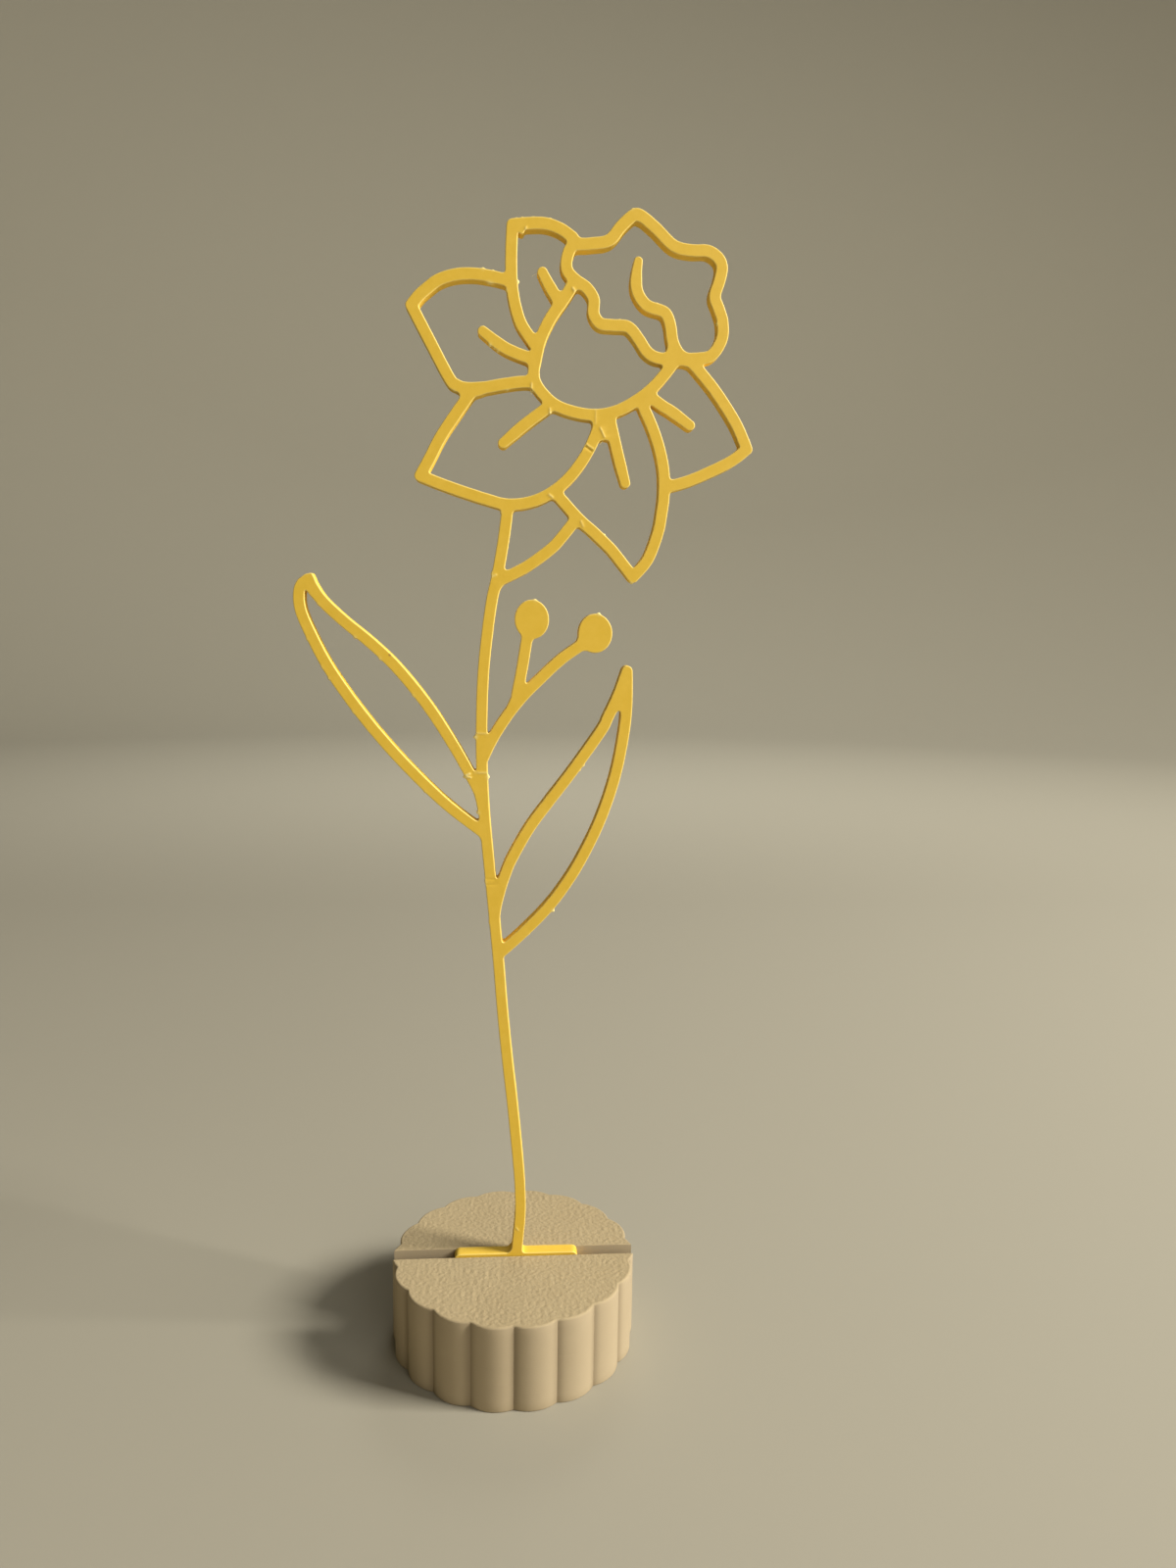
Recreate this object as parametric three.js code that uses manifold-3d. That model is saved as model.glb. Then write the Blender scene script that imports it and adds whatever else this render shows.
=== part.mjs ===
// A daffodil drawn in one flat line, printed in one piece, that stands on its foot bar in a slot across a
// round scalloped stand. Millimetres, +Z up. The origin is the centre of the stand's underside. The flower
// lies in the XZ plane, and its front looks along -Y.
import * as THREE from "three";
import { mergeVertices } from "three/addons/utils/BufferGeometryUtils.js";
import Module from "manifold-3d";

// Driving dimensions of the stand.
const STAND_HEIGHT = 17.5;
const SCALLOPS = 18;
const NOTCH_RADIUS = 24;
const CREST_RADIUS = 24.9;
const SLOT_WIDTH = 3.2;
const SLOT_DEPTH = 8;

// Driving dimensions of the flower.
const PANEL_THICKNESS = 2.8;
const LINE_WIDTH = 1.94;
const LEFT_LEAF_LINE_WIDTH = 1.84;
const FOOT_LEFT = -12.2;
const FOOT_RIGHT = 13.2;
const FOOT_PROUD = 0.45;
const FOOT_CORNER = 1.2;
const BERRY_HALF_WIDTH = 3.25;
const BERRY_HALF_HEIGHT = 3.71;

// How closely straight facets follow the curves.
const CURVE_SAMPLES = 24;
const CHORD_ERROR = 0.03;
const CAP_STEPS = 6;
const CORNER_STEPS = 4;
const BERRY_STEPS = 28;
const CREST_STEPS = 8;

const YELLOW = 0xe6bf55;
const BEIGE = 0xc3b088;

const SLOT_FLOOR = STAND_HEIGHT - SLOT_DEPTH;

// The lines of the flower. Each is a smooth curve through its points, [x, z] from the origin.
const STEM = [
  [0.7, 14], [0.9, 19], [1.4, 25], [1.5, 29], [1.15, 36], [-0.2, 50], [-1.3, 60], [-2.3, 70], [-3.2, 80],
  [-4.1, 90], [-5.1, 100], [-6.0, 110], [-6.5, 120], [-6.6, 128], [-6.4, 135], [-5.95, 141], [-4.7, 150],
  [-3.7, 155], [-2.85, 160], [-2.2, 164.3], [-1.7, 168.5],
];

const LEFT_LEAF_TIP = [-38.5, 154.6];
const LEFT_LEAF = {
  outer: [
    LEFT_LEAF_TIP, [-40.4, 152], [-40.1, 148.4], [-38.35, 143.7], [-35.4, 138.2], [-31.35, 132.05],
    [-26.3, 125.45], [-20.45, 118.85], [-13.5, 112], [-6.5, 106.5],
  ],
  inner: [
    LEFT_LEAF_TIP, [-37.8, 152.9], [-35.6, 149.9], [-32, 146.4], [-27.9, 143.1], [-23.7, 139.25],
    [-19.6, 134.55], [-15.7, 129.3], [-11.6, 122.75], [-8.8, 117.7], [-7.1, 114.3], [-6.3, 111],
  ],
};

const RIGHT_LEAF_TIP = [21.2, 137.5];
const RIGHT_LEAF = {
  inner: [
    RIGHT_LEAF_TIP, [16.3, 126.3], [11, 118.6], [6.4, 112.6], [2.55, 107.25], [-0.7, 101.2], [-2.1, 97.7],
    [-2.95, 94.8], [-3.65, 91.5], [-4.0, 88.5],
  ],
  outer: [
    RIGHT_LEAF_TIP, [21.3, 130.7], [20.55, 124.1], [19.05, 116.5], [16.35, 108.3], [12.85, 100.7],
    [9.5, 95.2], [5.9, 90.6], [1.2, 85.9], [-2.5, 82.5],
  ],
};

const BERRY_BRANCH = [
  [-6.4, 120.7], [-4.5, 124.3], [-1.95, 128.5], [1, 132.5], [4.5, 136.2], [8.4, 139.9], [12, 142.5],
];
const BERRY_TWIG = [[2.3, 145], [1.9, 143.1], [1.2, 138.3], [0.3, 133]];
const BERRY_CENTRES = [[2.86, 147.4], [14.92, 144.95]];

const CALYX = [[10.45, 165.3], [8.7, 162.85], [6.4, 160.3], [1.7, 157], [-3, 154.7]];

const PETAL_A_TIP = [-19, 203.2];
const PETAL_B_TIP = [-1, 217.3];
const PETAL_C_TIP = [-17.85, 173.3];
const PETAL_D_TIP = [21.9, 155.6];
const PETAL_E_TIP = [42.85, 179.5];
const PETALS = [
  [
    [-1.2, 207.6], [-3.85, 208.25], [-7.1, 208.7], [-9.7, 208.7], [-12.15, 208.3], [-14.4, 207.45],
    [-16.2, 206.15], [-17.9, 204.65], PETAL_A_TIP,
  ],
  [
    PETAL_A_TIP, [-15.85, 197.05], [-12.4, 190.6], [-11.2, 189.4], [-9.3, 189], [-6, 189.2], [-2.9, 189.8],
    [0.5, 190.35], [3.1, 190.4],
  ],
  [
    PETAL_B_TIP, [-1.05, 215.4], [-1.3, 212.1], [-1.25, 209.2], [-1.05, 206.35], [-0.45, 203.35],
    [0.5, 200.6], [1.9, 198.5], [3.2, 196.8],
  ],
  [PETAL_B_TIP, [1.9, 217.65], [4.9, 217.6], [7.5, 216.7], [9.6, 215.3]],
  [[-8.6, 188.2], [-11.4, 184.4], [-14.2, 180.25], [-16.2, 176.35], PETAL_C_TIP],
  [
    PETAL_C_TIP, [-14.45, 172.15], [-10, 170.65], [-5.95, 169.4], [-2.1, 168.5], [1.85, 168.85],
    [5.5, 170.3], [8.9, 172.85], [11.7, 176.2], [13.8, 179.9], [15.2, 183.6],
  ],
  [[7.2, 170.8], [14.95, 163.35], PETAL_D_TIP],
  [
    PETAL_D_TIP, [24.55, 159], [26.55, 163.8], [27.3, 167.2], [27.5, 170.7], [27.3, 175], [26.4, 179.1],
    [25, 182.9], [23.4, 186.2],
  ],
  [
    [29.8, 195.2], [31.8, 194.75], [33.4, 193.3], [36.85, 189.4], [40.35, 184.5], [42.05, 181.3],
    PETAL_E_TIP,
  ],
  [PETAL_E_TIP, [39.9, 177.2], [35.65, 175.05], [31.65, 173.35], [28, 172.3]],
];

const VEINS = [
  [[-6.65, 199.4], [-2.05, 196.3], [3.1, 194.5]],
  [[4.2, 209.85], [5.55, 207.45], [7.2, 205]],
  [[-2.95, 179.2], [1.1, 182.7], [5.5, 186]],
  [[20.1, 172.4], [18.6, 177.75], [17.2, 183.5]],
  [[32.1, 183], [28.65, 185.8], [25.1, 188.4]],
];

const CUP = [
  [10.3, 208.2], [8.5, 205.35], [5.9, 201.65], [4.1, 197.9], [3.3, 194.35], [3.1, 192.3], [3.5, 190.4],
  [4.75, 188.35], [7.1, 186.4], [10.5, 185.35], [14.3, 185.05], [17.9, 185.6], [21.4, 187.1],
  [24.45, 189.65], [26.9, 192.3], [28.8, 194.8],
];
const CROWN = [
  [12.9, 214.6], [16.2, 215.4], [18.6, 217.8], [21.1, 219.65], [24.75, 217.6], [28.2, 214.95],
  [31.3, 214.15], [34.35, 214.05], [36.35, 212.95], [37.1, 211.35], [36.7, 209.05], [36.1, 206.4],
  [36.75, 204.25], [37.5, 202.1], [37.6, 199.5], [36.85, 197.3], [35.3, 196], [33.3, 195.5], [31, 195.3],
  [28.2, 195.2], [25.5, 195.5], [23.7, 196.5], [22.15, 198.65], [20.1, 200.5], [17.4, 200.8],
  [15.1, 201.1], [13.9, 202.8], [13.8, 205.1], [12.3, 207], [10.3, 208.4], [8.8, 210], [8.8, 212.2],
  [9.9, 214.2],
];
const CROWN_FOLD = [
  [21.6, 212], [21.5, 209.8], [21.75, 207], [23.6, 204.6], [26.65, 203.25], [27.75, 201.05],
  [28.3, 198.6], [29.3, 196.2],
];

// Solid webs where lines run together, each a plain outline sunk into the lines beside it.
const WEBS = {
  stemFoot: [[-1.6, 17], [-0.75, 18.4], [-0.3, 20], [0, 22], [1, 22], [1.9, 20], [2.3, 18.4], [2.9, 17]],
  calyxUnder: [[-4.2, 152], [-2.9, 152.6], [-0.9, 153.7], [1.6, 155.4], [0.5, 156.6], [-4, 156]],
  calyxCrotch: [[-3, 155], [-2.6, 156.9], [-2.1, 156.3], [-1.3, 156.3], [-1, 155.4]],
  leafTip: [[19, 132.5], [19.4, 130.1], [20.5, 130.1], [21.2, 133], [21.2, 137]],
  twigFoot: [[-2.2, 129.3], [-1.1, 131.9], [-0.45, 134.3], [1, 134.5], [1.2, 132]],
  berryStalk: [[10.6, 142.4], [11.6, 143.9], [12.4, 144.6], [13.2, 142.4], [12, 141.3]],
  veinRoot: [[14.6, 183], [14.9, 180.9], [16.1, 180.9], [18, 182], [17.8, 185.4], [15, 185]],
  foldRoot: [[27, 195.2], [28, 197.2], [30.4, 197.6], [32.2, 195.6]],
};

const wasm = await Module();
wasm.setup();

// A closed three.js geometry as a solid that can be joined and cut.
function solid(geometry) {
  const bare = geometry.index ? geometry.toNonIndexed() : geometry.clone();
  bare.deleteAttribute("normal");
  bare.deleteAttribute("uv");
  const merged = mergeVertices(bare, 1e-4);
  return new wasm.Manifold(
    new wasm.Mesh({
      numProp: 3,
      vertProperties: merged.attributes.position.array,
      triVerts: new Uint32Array(merged.index.array),
    }),
  );
}

// The solid's surface as a three.js geometry with flat facets.
function geometryOf(manifold) {
  const mesh = manifold.getMesh();
  const positions = new Float32Array(mesh.numVert * 3);
  for (let i = 0; i < mesh.numVert; i++) {
    positions.set(mesh.vertProperties.subarray(i * mesh.numProp, i * mesh.numProp + 3), i * 3);
  }
  const indexed = new THREE.BufferGeometry();
  indexed.setAttribute("position", new THREE.BufferAttribute(positions, 3));
  indexed.setIndex(new THREE.BufferAttribute(mesh.triVerts, 1));
  const faceted = indexed.toNonIndexed();
  faceted.computeVertexNormals();
  return faceted;
}

function joined(solids) {
  return solids.reduce((whole, next) => whole.add(next));
}

// A flat outline in x and z, given the panel's thickness, standing upright with its middle on y = 0.
function panel(shape) {
  const geometry = new THREE.ExtrudeGeometry(shape, {
    depth: PANEL_THICKNESS,
    bevelEnabled: false,
    curveSegments: CORNER_STEPS,
  });
  geometry.rotateX(Math.PI / 2);
  geometry.translate(0, PANEL_THICKNESS / 2, 0);
  return solid(geometry);
}

// Drops the points that lie closer than the tolerance to the chord between the ones that stay.
function thinned(points, tolerance) {
  if (points.length < 3) return points;
  const first = points[0];
  const last = points[points.length - 1];
  const chord = last.clone().sub(first);
  const length = chord.length();
  let farthest = 0;
  let distance = -1;
  for (let i = 1; i < points.length - 1; i++) {
    const offset = points[i].clone().sub(first);
    const away = length > 0 ? Math.abs(chord.cross(offset)) / length : offset.length();
    if (away > distance) {
      distance = away;
      farthest = i;
    }
  }
  if (distance <= tolerance) return [first, last];
  const head = thinned(points.slice(0, farthest + 1), tolerance);
  const tail = thinned(points.slice(farthest), tolerance);
  return head.concat(tail.slice(1));
}

function vectors(points) {
  return points.map(([x, z]) => new THREE.Vector2(x, z));
}

// The unit direction across the line at each of its points.
function acrossLine(path, closed) {
  const last = path.length - 1;
  return path.map((point, i) => {
    const before = i > 0 ? path[i - 1] : closed ? path[last] : point;
    const after = i < last ? path[i + 1] : closed ? path[0] : point;
    const into = point.clone().sub(before).normalize();
    const out = after.clone().sub(point).normalize();
    const along = into.add(out).normalize();
    return new THREE.Vector2(-along.y, along.x);
  });
}

// A half circle round the end of a line, from one side of it to the other.
function roundCap(centre, across, radius) {
  const start = Math.atan2(across.y, across.x);
  return Array.from({ length: CAP_STEPS - 1 }, (_, i) => {
    const angle = start - ((i + 1) * Math.PI) / CAP_STEPS;
    return new THREE.Vector2(Math.cos(angle), Math.sin(angle)).multiplyScalar(radius).add(centre);
  });
}

// An open line with round ends.
function line(points, width = LINE_WIDTH) {
  const half = width / 2;
  const curve = new THREE.SplineCurve(vectors(points));
  const path = thinned(curve.getPoints(CURVE_SAMPLES * (points.length - 1)), CHORD_ERROR);
  const across = acrossLine(path, false);
  const left = path.map((p, i) => p.clone().addScaledVector(across[i], half));
  const right = path.map((p, i) => p.clone().addScaledVector(across[i], -half));
  const end = path.length - 1;
  const endCap = roundCap(path[end], across[end], half);
  const startCap = roundCap(path[0], across[0].clone().negate(), half);
  return panel(new THREE.Shape([...left, ...endCap, ...right.reverse(), ...startCap]));
}

// A line that closes on itself, given clockwise as the front shows it.
function loop(points, width = LINE_WIDTH) {
  const half = width / 2;
  const ring = vectors(points);
  const count = ring.length;
  const wrapped = [ring[count - 2], ring[count - 1], ...ring, ring[0], ring[1]];
  const curve = new THREE.SplineCurve(wrapped);
  const steps = wrapped.length - 1;
  const path = [];
  for (let i = 0; i <= count * CURVE_SAMPLES; i++) {
    path.push(curve.getPoint((2 + i / CURVE_SAMPLES) / steps));
  }
  const closedPath = thinned(path, CHORD_ERROR).slice(0, -1);
  const across = acrossLine(closedPath, true);
  const outside = closedPath.map((p, i) => p.clone().addScaledVector(across[i], half));
  const inside = closedPath.map((p, i) => p.clone().addScaledVector(across[i], -half));
  const shape = new THREE.Shape(outside);
  shape.holes.push(new THREE.Path(inside.reverse()));
  return panel(shape);
}

function web(points) {
  return panel(new THREE.Shape(vectors(points)));
}

function berry([x, z]) {
  const shape = new THREE.Shape();
  for (let i = 0; i < BERRY_STEPS; i++) {
    const angle = (i * 2 * Math.PI) / BERRY_STEPS;
    const px = x + BERRY_HALF_WIDTH * Math.cos(angle);
    const pz = z + BERRY_HALF_HEIGHT * Math.sin(angle);
    if (i === 0) shape.moveTo(px, pz);
    else shape.lineTo(px, pz);
  }
  return panel(shape);
}

// The bar at the lower end of the stem, which fills the slot's depth and stands a little proud of it.
function footBar() {
  const top = STAND_HEIGHT + FOOT_PROUD;
  const r = FOOT_CORNER;
  const shape = new THREE.Shape();
  shape.absarc(FOOT_RIGHT - r, top - r, r, 0, Math.PI / 2);
  shape.absarc(FOOT_LEFT + r, top - r, r, Math.PI / 2, Math.PI);
  shape.absarc(FOOT_LEFT + r, SLOT_FLOOR + r, r, Math.PI, 1.5 * Math.PI);
  shape.absarc(FOOT_RIGHT - r, SLOT_FLOOR + r, r, 1.5 * Math.PI, 2 * Math.PI);
  return panel(shape);
}

function flowerSolid() {
  return joined([
    line(STEM),
    footBar(),
    line(LEFT_LEAF.outer, LEFT_LEAF_LINE_WIDTH),
    line(LEFT_LEAF.inner, LEFT_LEAF_LINE_WIDTH),
    line(RIGHT_LEAF.inner),
    line(RIGHT_LEAF.outer),
    line(BERRY_BRANCH),
    line(BERRY_TWIG),
    ...BERRY_CENTRES.map(berry),
    line(CALYX),
    ...PETALS.map((points) => line(points)),
    line(CUP),
    loop(CROWN),
    line(CROWN_FOLD),
    ...VEINS.map((points) => line(points)),
    ...Object.values(WEBS).map(web),
  ]);
}

// The stand's outline: one arc for each scallop, meeting the next in a sharp notch.
function scallopedOutline() {
  const halfPitch = Math.PI / SCALLOPS;
  const halfChord = NOTCH_RADIUS * Math.sin(halfPitch);
  const rise = CREST_RADIUS - NOTCH_RADIUS * Math.cos(halfPitch);
  const arcRadius = (halfChord * halfChord + rise * rise) / (2 * rise);
  const arcCentre = CREST_RADIUS - arcRadius;
  const halfArc = Math.asin(halfChord / arcRadius);
  const points = [];
  for (let scallop = 0; scallop < SCALLOPS; scallop++) {
    const middle = 2 * halfPitch * scallop;
    for (let step = 0; step < CREST_STEPS; step++) {
      const angle = halfArc * ((2 * step) / CREST_STEPS - 1);
      const point = new THREE.Vector2(arcCentre + arcRadius * Math.cos(angle), arcRadius * Math.sin(angle));
      points.push(point.rotateAround(new THREE.Vector2(0, 0), middle));
    }
  }
  return new THREE.Shape(points);
}

function standSolid() {
  const block = solid(new THREE.ExtrudeGeometry(scallopedOutline(), { depth: STAND_HEIGHT, bevelEnabled: false }));
  const slot = new THREE.BoxGeometry(4 * CREST_RADIUS, SLOT_WIDTH, 2 * SLOT_DEPTH);
  slot.translate(0, 0, SLOT_FLOOR + SLOT_DEPTH);
  return block.subtract(solid(slot));
}

function sheetMaterial(color, roughness) {
  return new THREE.MeshStandardMaterial({ color, roughness, metalness: 0 });
}

const flower = new THREE.Mesh(geometryOf(flowerSolid()), sheetMaterial(YELLOW, 0.5));
flower.name = "daffodil_outline";

const stand = new THREE.Mesh(geometryOf(standSolid()), sheetMaterial(BEIGE, 0.8));
stand.name = "scalloped_stand";

const group = new THREE.Group();
group.add(stand);
group.add(flower);

export default group;
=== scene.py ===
"""A daffodil drawn in one flat line of yellow plastic, standing in the slot of a scalloped beige stand.

The flower and the stand are built as fine meshes over the fixed frame. Plan sizes in the tables below are
in millimetres, as [x, z] in the flower's own upright plane, and meshes are made in metres.
"""
import math

import bpy
import numpy as np
from mathutils import Matrix, Vector, noise
from mathutils.geometry import delaunay_2d_cdt


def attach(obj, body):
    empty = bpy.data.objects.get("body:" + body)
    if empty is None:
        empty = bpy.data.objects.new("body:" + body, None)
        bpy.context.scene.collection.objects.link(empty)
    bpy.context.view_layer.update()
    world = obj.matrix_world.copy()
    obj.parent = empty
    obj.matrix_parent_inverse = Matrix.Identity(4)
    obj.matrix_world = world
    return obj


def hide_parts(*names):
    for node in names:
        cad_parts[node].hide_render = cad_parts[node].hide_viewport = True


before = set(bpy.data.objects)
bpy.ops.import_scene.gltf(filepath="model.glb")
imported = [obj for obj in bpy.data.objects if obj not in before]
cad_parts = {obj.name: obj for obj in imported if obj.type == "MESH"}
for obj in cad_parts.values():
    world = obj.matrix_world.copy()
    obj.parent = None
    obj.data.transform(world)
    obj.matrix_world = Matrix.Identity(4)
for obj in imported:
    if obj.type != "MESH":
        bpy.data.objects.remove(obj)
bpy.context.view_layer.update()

MM = 0.001

# The photograph's camera: focal length in its pixels, place in millimetres, angles in degrees.
PHOTO_HEIGHT = 1600
FOCAL_PIXELS = 1110
CAMERA_PLACE = (-1.28, -209.46, 147.57)
CAMERA_PITCH = 8.6
CAMERA_ROLL = -0.84
CAMERA_YAW = 4.19
SENSOR = 36.0

# The flower.
THICKNESS = 2.8
LINE_HALF = 1.08
LEFT_LEAF_HALF = 1.06
BLUNT_CORNER = 0.5
# How much some lines' half width grows or shrinks at their start, fading out over the taper's reach.
LEAF_TIP_WIDER = 0.2
FOLD_END_NARROWER = 0.3
VEIN_END_NARROWER = 0.15
TAPER_REACH = 3.4
EDGE_RADIUS = 0.15
FOOT_LEFT = -12.2
FOOT_RIGHT = 13.2
FOOT_CORNER = 1.2
FOOT_PROUD = 0.45
BERRY_HALF_WIDTH = 3.25
BERRY_HALF_HEIGHT = 3.71
ROUND_STEPS = 3
FLAT_RIM = 0.1
WALL_ROWS = (-1.06, -0.86, -0.6, 0.1, 0.7)
WOBBLE = 0.018
WOBBLE_RATE = 0.8

# The stand.
STAND_HEIGHT = 17.5
SCALLOPS = 18
NOTCH_RADIUS = 24.0
CREST_RADIUS = 24.9
SLOT_WIDTH = 3.2
SLOT_DEPTH = 8.0
SLOT_FLOOR = STAND_HEIGHT - SLOT_DEPTH
RIM_RADIUS = 0.48
SLOT_EDGE_RADIUS = 0.18
BOTTOM_RADIUS = 0.25
# Painted shade in the grooves between scallops: how far it spreads along the wall, and how far inside the
# outline it fades out.
GROOVE_SHADE_REACH = 0.85
GROOVE_SHADE_DEPTH = 0.3
# The rims tighten towards the slot's mouth, where the corner edges lean into each other.
MOUTH_RADIUS = 0.36
MOUTH_END = 2.6
MOUTH_REACH = 1.6
MOUTH_STEPS = 5
CORNER_REACH = 1.26
CORNER_STEPS = 3
CORNER_EASE = 0.3
EDGE_CLEARANCE = 0.12
# How finely the stand is cut up: along a scallop, beside and across the mouth, along the slot, upwards.
SCALLOP_POINTS = 23
BESIDE_MOUTH_POINTS = 9
MOUTH_POINTS = 7
SLOT_COLUMNS = 120
BOTTOM_STEPS = 3
BLOCK_ROWS = 7
HALF_ROWS = 6
RIM_STEPS = 4
# The grain of its top: spacing of points, size and height of bumps, a slow drift in height.
GRAIN_STEP = 0.17
GRAIN_SIZE = 0.42
GRAIN_HEIGHT = 0.09
GRAIN_DOME = 0.8
GRAIN_DRIFT = 0.9
GRAIN_DRIFT_RATE = 0.55
GRAIN_SINK = 0.9
GRAIN_FADE = 0.8
EDGE_GRAIN = 0.75

STEM = [
    (0.6, 14), (0.72, 19), (1.22, 25), (1.32, 29), (0.97, 36), (-0.36, 50), (-1.47, 60), (-2.45, 70),
    (-3.25, 80), (-4.18, 90), (-5.14, 100), (-6.08, 110), (-6.57, 120), (-6.6, 128), (-6.4, 135),
    (-5.95, 141), (-4.83, 150), (-3.75, 155), (-2.85, 160), (-2.2, 164.3), (-1.7, 168.5),
]
LEFT_LEAF = [
    [
        (-38.8, 153.95), (-39.78, 153.35), (-40.38, 151.6), (-40.1, 148.4), (-38.22, 143.76),
        (-35.4, 138.2), (-31.35, 132.05), (-26.3, 125.45), (-20.45, 118.85), (-13.5, 112),
        (-6.5, 106.5),
    ],
    [
        (-38.6, 154.0), (-37.95, 152.7), (-35.7, 149.82), (-32, 146.4), (-27.9, 143.1), (-23.7, 139.25),
        (-19.6, 134.55), (-15.7, 129.3), (-11.6, 122.75), (-8.8, 117.7), (-7.1, 114.3), (-6.3, 111),
    ],
]
RIGHT_LEAF_TIP = (21.15, 137.85)
RIGHT_LEAF = [
    [
        RIGHT_LEAF_TIP, (19.65, 133.45), (17.62, 128.95), (16.36, 126.37), (11, 118.6), (6.47, 112.55),
        (2.63, 107.2), (-0.7, 101.2), (-2.1, 97.7), (-3.0, 94.8), (-3.78, 91.5), (-4.16, 88.5),
    ],
    [
        RIGHT_LEAF_TIP, (21.2, 130.7), (20.5, 124.1), (18.95, 116.5), (16.25, 108.35), (12.7, 100.8),
        (9.38, 95.3), (5.85, 90.7), (1.2, 85.9), (-2.5, 82.5),
    ],
    [(20.9, 137), (20.35, 131.2)],
]
BERRY_STALKS = [
    [
        (-6.4, 120.7), (-4.65, 124.4), (-2.07, 128.6), (0.95, 132.55), (4.5, 136.2), (8.4, 139.9),
        (12, 142.5),
    ],
    [(2.3, 145), (1.85, 143.1), (1.1, 138.3), (0.1, 133)],
]
BERRY_CENTRES = [(2.86, 147.4), (14.92, 144.95)]
CALYX = [(10.4, 165.3), (8.58, 163), (6.26, 160.48), (1.62, 157.08), (-3, 154.7)]

PETAL_A_TIP = (-19.2, 203.06)
PETAL_B_TIP = (-1.08, 217.3)
PETAL_C_TIP = (-17.85, 173.3)
PETAL_D_TIP = (21.9, 155.6)
PETAL_E_TIP = (42.85, 179.5)
PETALS = [
    [
        (-1.2, 207.6), (-3.85, 208.25), (-7.1, 208.7), (-9.7, 208.7), (-12.15, 208.3), (-14.4, 207.45),
        (-16.2, 206.15), (-17.9, 204.65), PETAL_A_TIP,
    ],
    [
        PETAL_A_TIP, (-15.93, 197), (-12.4, 190.6), (-11.12, 189.48), (-9.3, 189), (-6, 189.2),
        (-2.9, 189.8), (0.5, 190.35), (3.1, 190.4),
    ],
    [
        PETAL_B_TIP, (-1.2, 215.4), (-1.3, 212.1), (-1.25, 209.2), (-1.05, 206.35), (-0.45, 203.35),
        (0.5, 200.6), (1.9, 198.5), (3.2, 196.8),
    ],
    [PETAL_B_TIP, (1.9, 217.65), (4.9, 217.7), (7.6, 216.9), (9.75, 215.55)],
    [(-8.6, 188.2), (-11.34, 184.37), (-14.14, 180.2), (-16.15, 176.35), PETAL_C_TIP],
    [
        PETAL_C_TIP, (-14.5, 172.05), (-10.03, 170.58), (-5.95, 169.4), (-2.1, 168.5), (1.85, 168.85),
        (5.5, 170.3), (8.9, 172.85), (11.7, 176.2), (13.8, 179.9), (15.2, 183.6),
    ],
    [
        (7.15, 170.75), (10.05, 167.6), (12.15, 165.55), (14.1, 163.95), (15.95, 162.3), (17.65, 160.7),
        (19.4, 158.65), PETAL_D_TIP,
    ],
    [
        PETAL_D_TIP, (24.65, 158.92), (26.45, 163.8), (27.06, 167.2), (27.43, 170.7), (27.3, 175),
        (26.4, 179.1), (25, 182.9), (23.4, 186.2),
    ],
    [
        (29.8, 195.2), (31.8, 194.75), (33.4, 193.3), (36.85, 189.4), (40.35, 184.5), (42.05, 181.3),
        PETAL_E_TIP,
    ],
    [PETAL_E_TIP, (39.9, 177.2), (35.65, 175.05), (31.65, 173.35), (28, 172.3)],
]
VEINS = [
    [(-6.52, 199.08), (-2.12, 196.1), (3.05, 194.3)],
    [(4.27, 209.6), (5.5, 207.4), (7.1, 204.93)],
    [(-2.8, 179.35), (1.1, 182.7), (5.5, 186)],
    [(20.15, 172.68), (18.68, 177.77), (17.2, 183.5)],
    [(32.13, 183.43), (28.65, 185.8), (26.7, 186.88), (24.85, 188.15)],
]
CUP = [
    (10.3, 208.2), (8.5, 205.35), (5.9, 201.65), (4.1, 197.9), (3.25, 194.35), (2.9, 192.3),
    (3.22, 190.35), (4.7, 188.3), (7.1, 186.4), (10.5, 185.3), (14.3, 184.92), (17.9, 185.6),
    (21.3, 187.3), (24.45, 189.65), (26.9, 192.3), (28.8, 194.8),
]
CROWN = [
    (12.9, 214.6), (16.3, 215.3), (18.5, 217.8), (20.7, 219.72), (22.1, 219.65), (24.8, 217.68),
    (28.1, 214.85), (31.3, 214.15), (34.4, 214.15), (36.4, 213), (37.1, 211.35), (36.7, 209.05),
    (35.95, 206.4), (36.75, 204.25), (37.5, 202.1), (37.6, 199.5), (36.72, 197.35), (35.33, 195.88),
    (33.3, 195.45), (31, 195.3), (28.2, 195.2), (25.45, 195.35), (23.6, 196.4), (22.05, 198.55),
    (20.1, 200.55), (17.4, 200.75), (14.95, 201), (13.73, 202.7), (13.72, 205.1), (12.4, 207.05),
    (10.3, 208.4), (8.8, 210), (8.8, 212.2), (9.9, 214.2),
]
CROWN_FOLD = [
    (21.75, 212.15), (21.45, 209.8), (21.6, 206.9), (23.42, 204.42), (26.74, 203.28), (27.85, 201.1),
    (28.3, 198.6), (29.3, 196.2),
]

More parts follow.
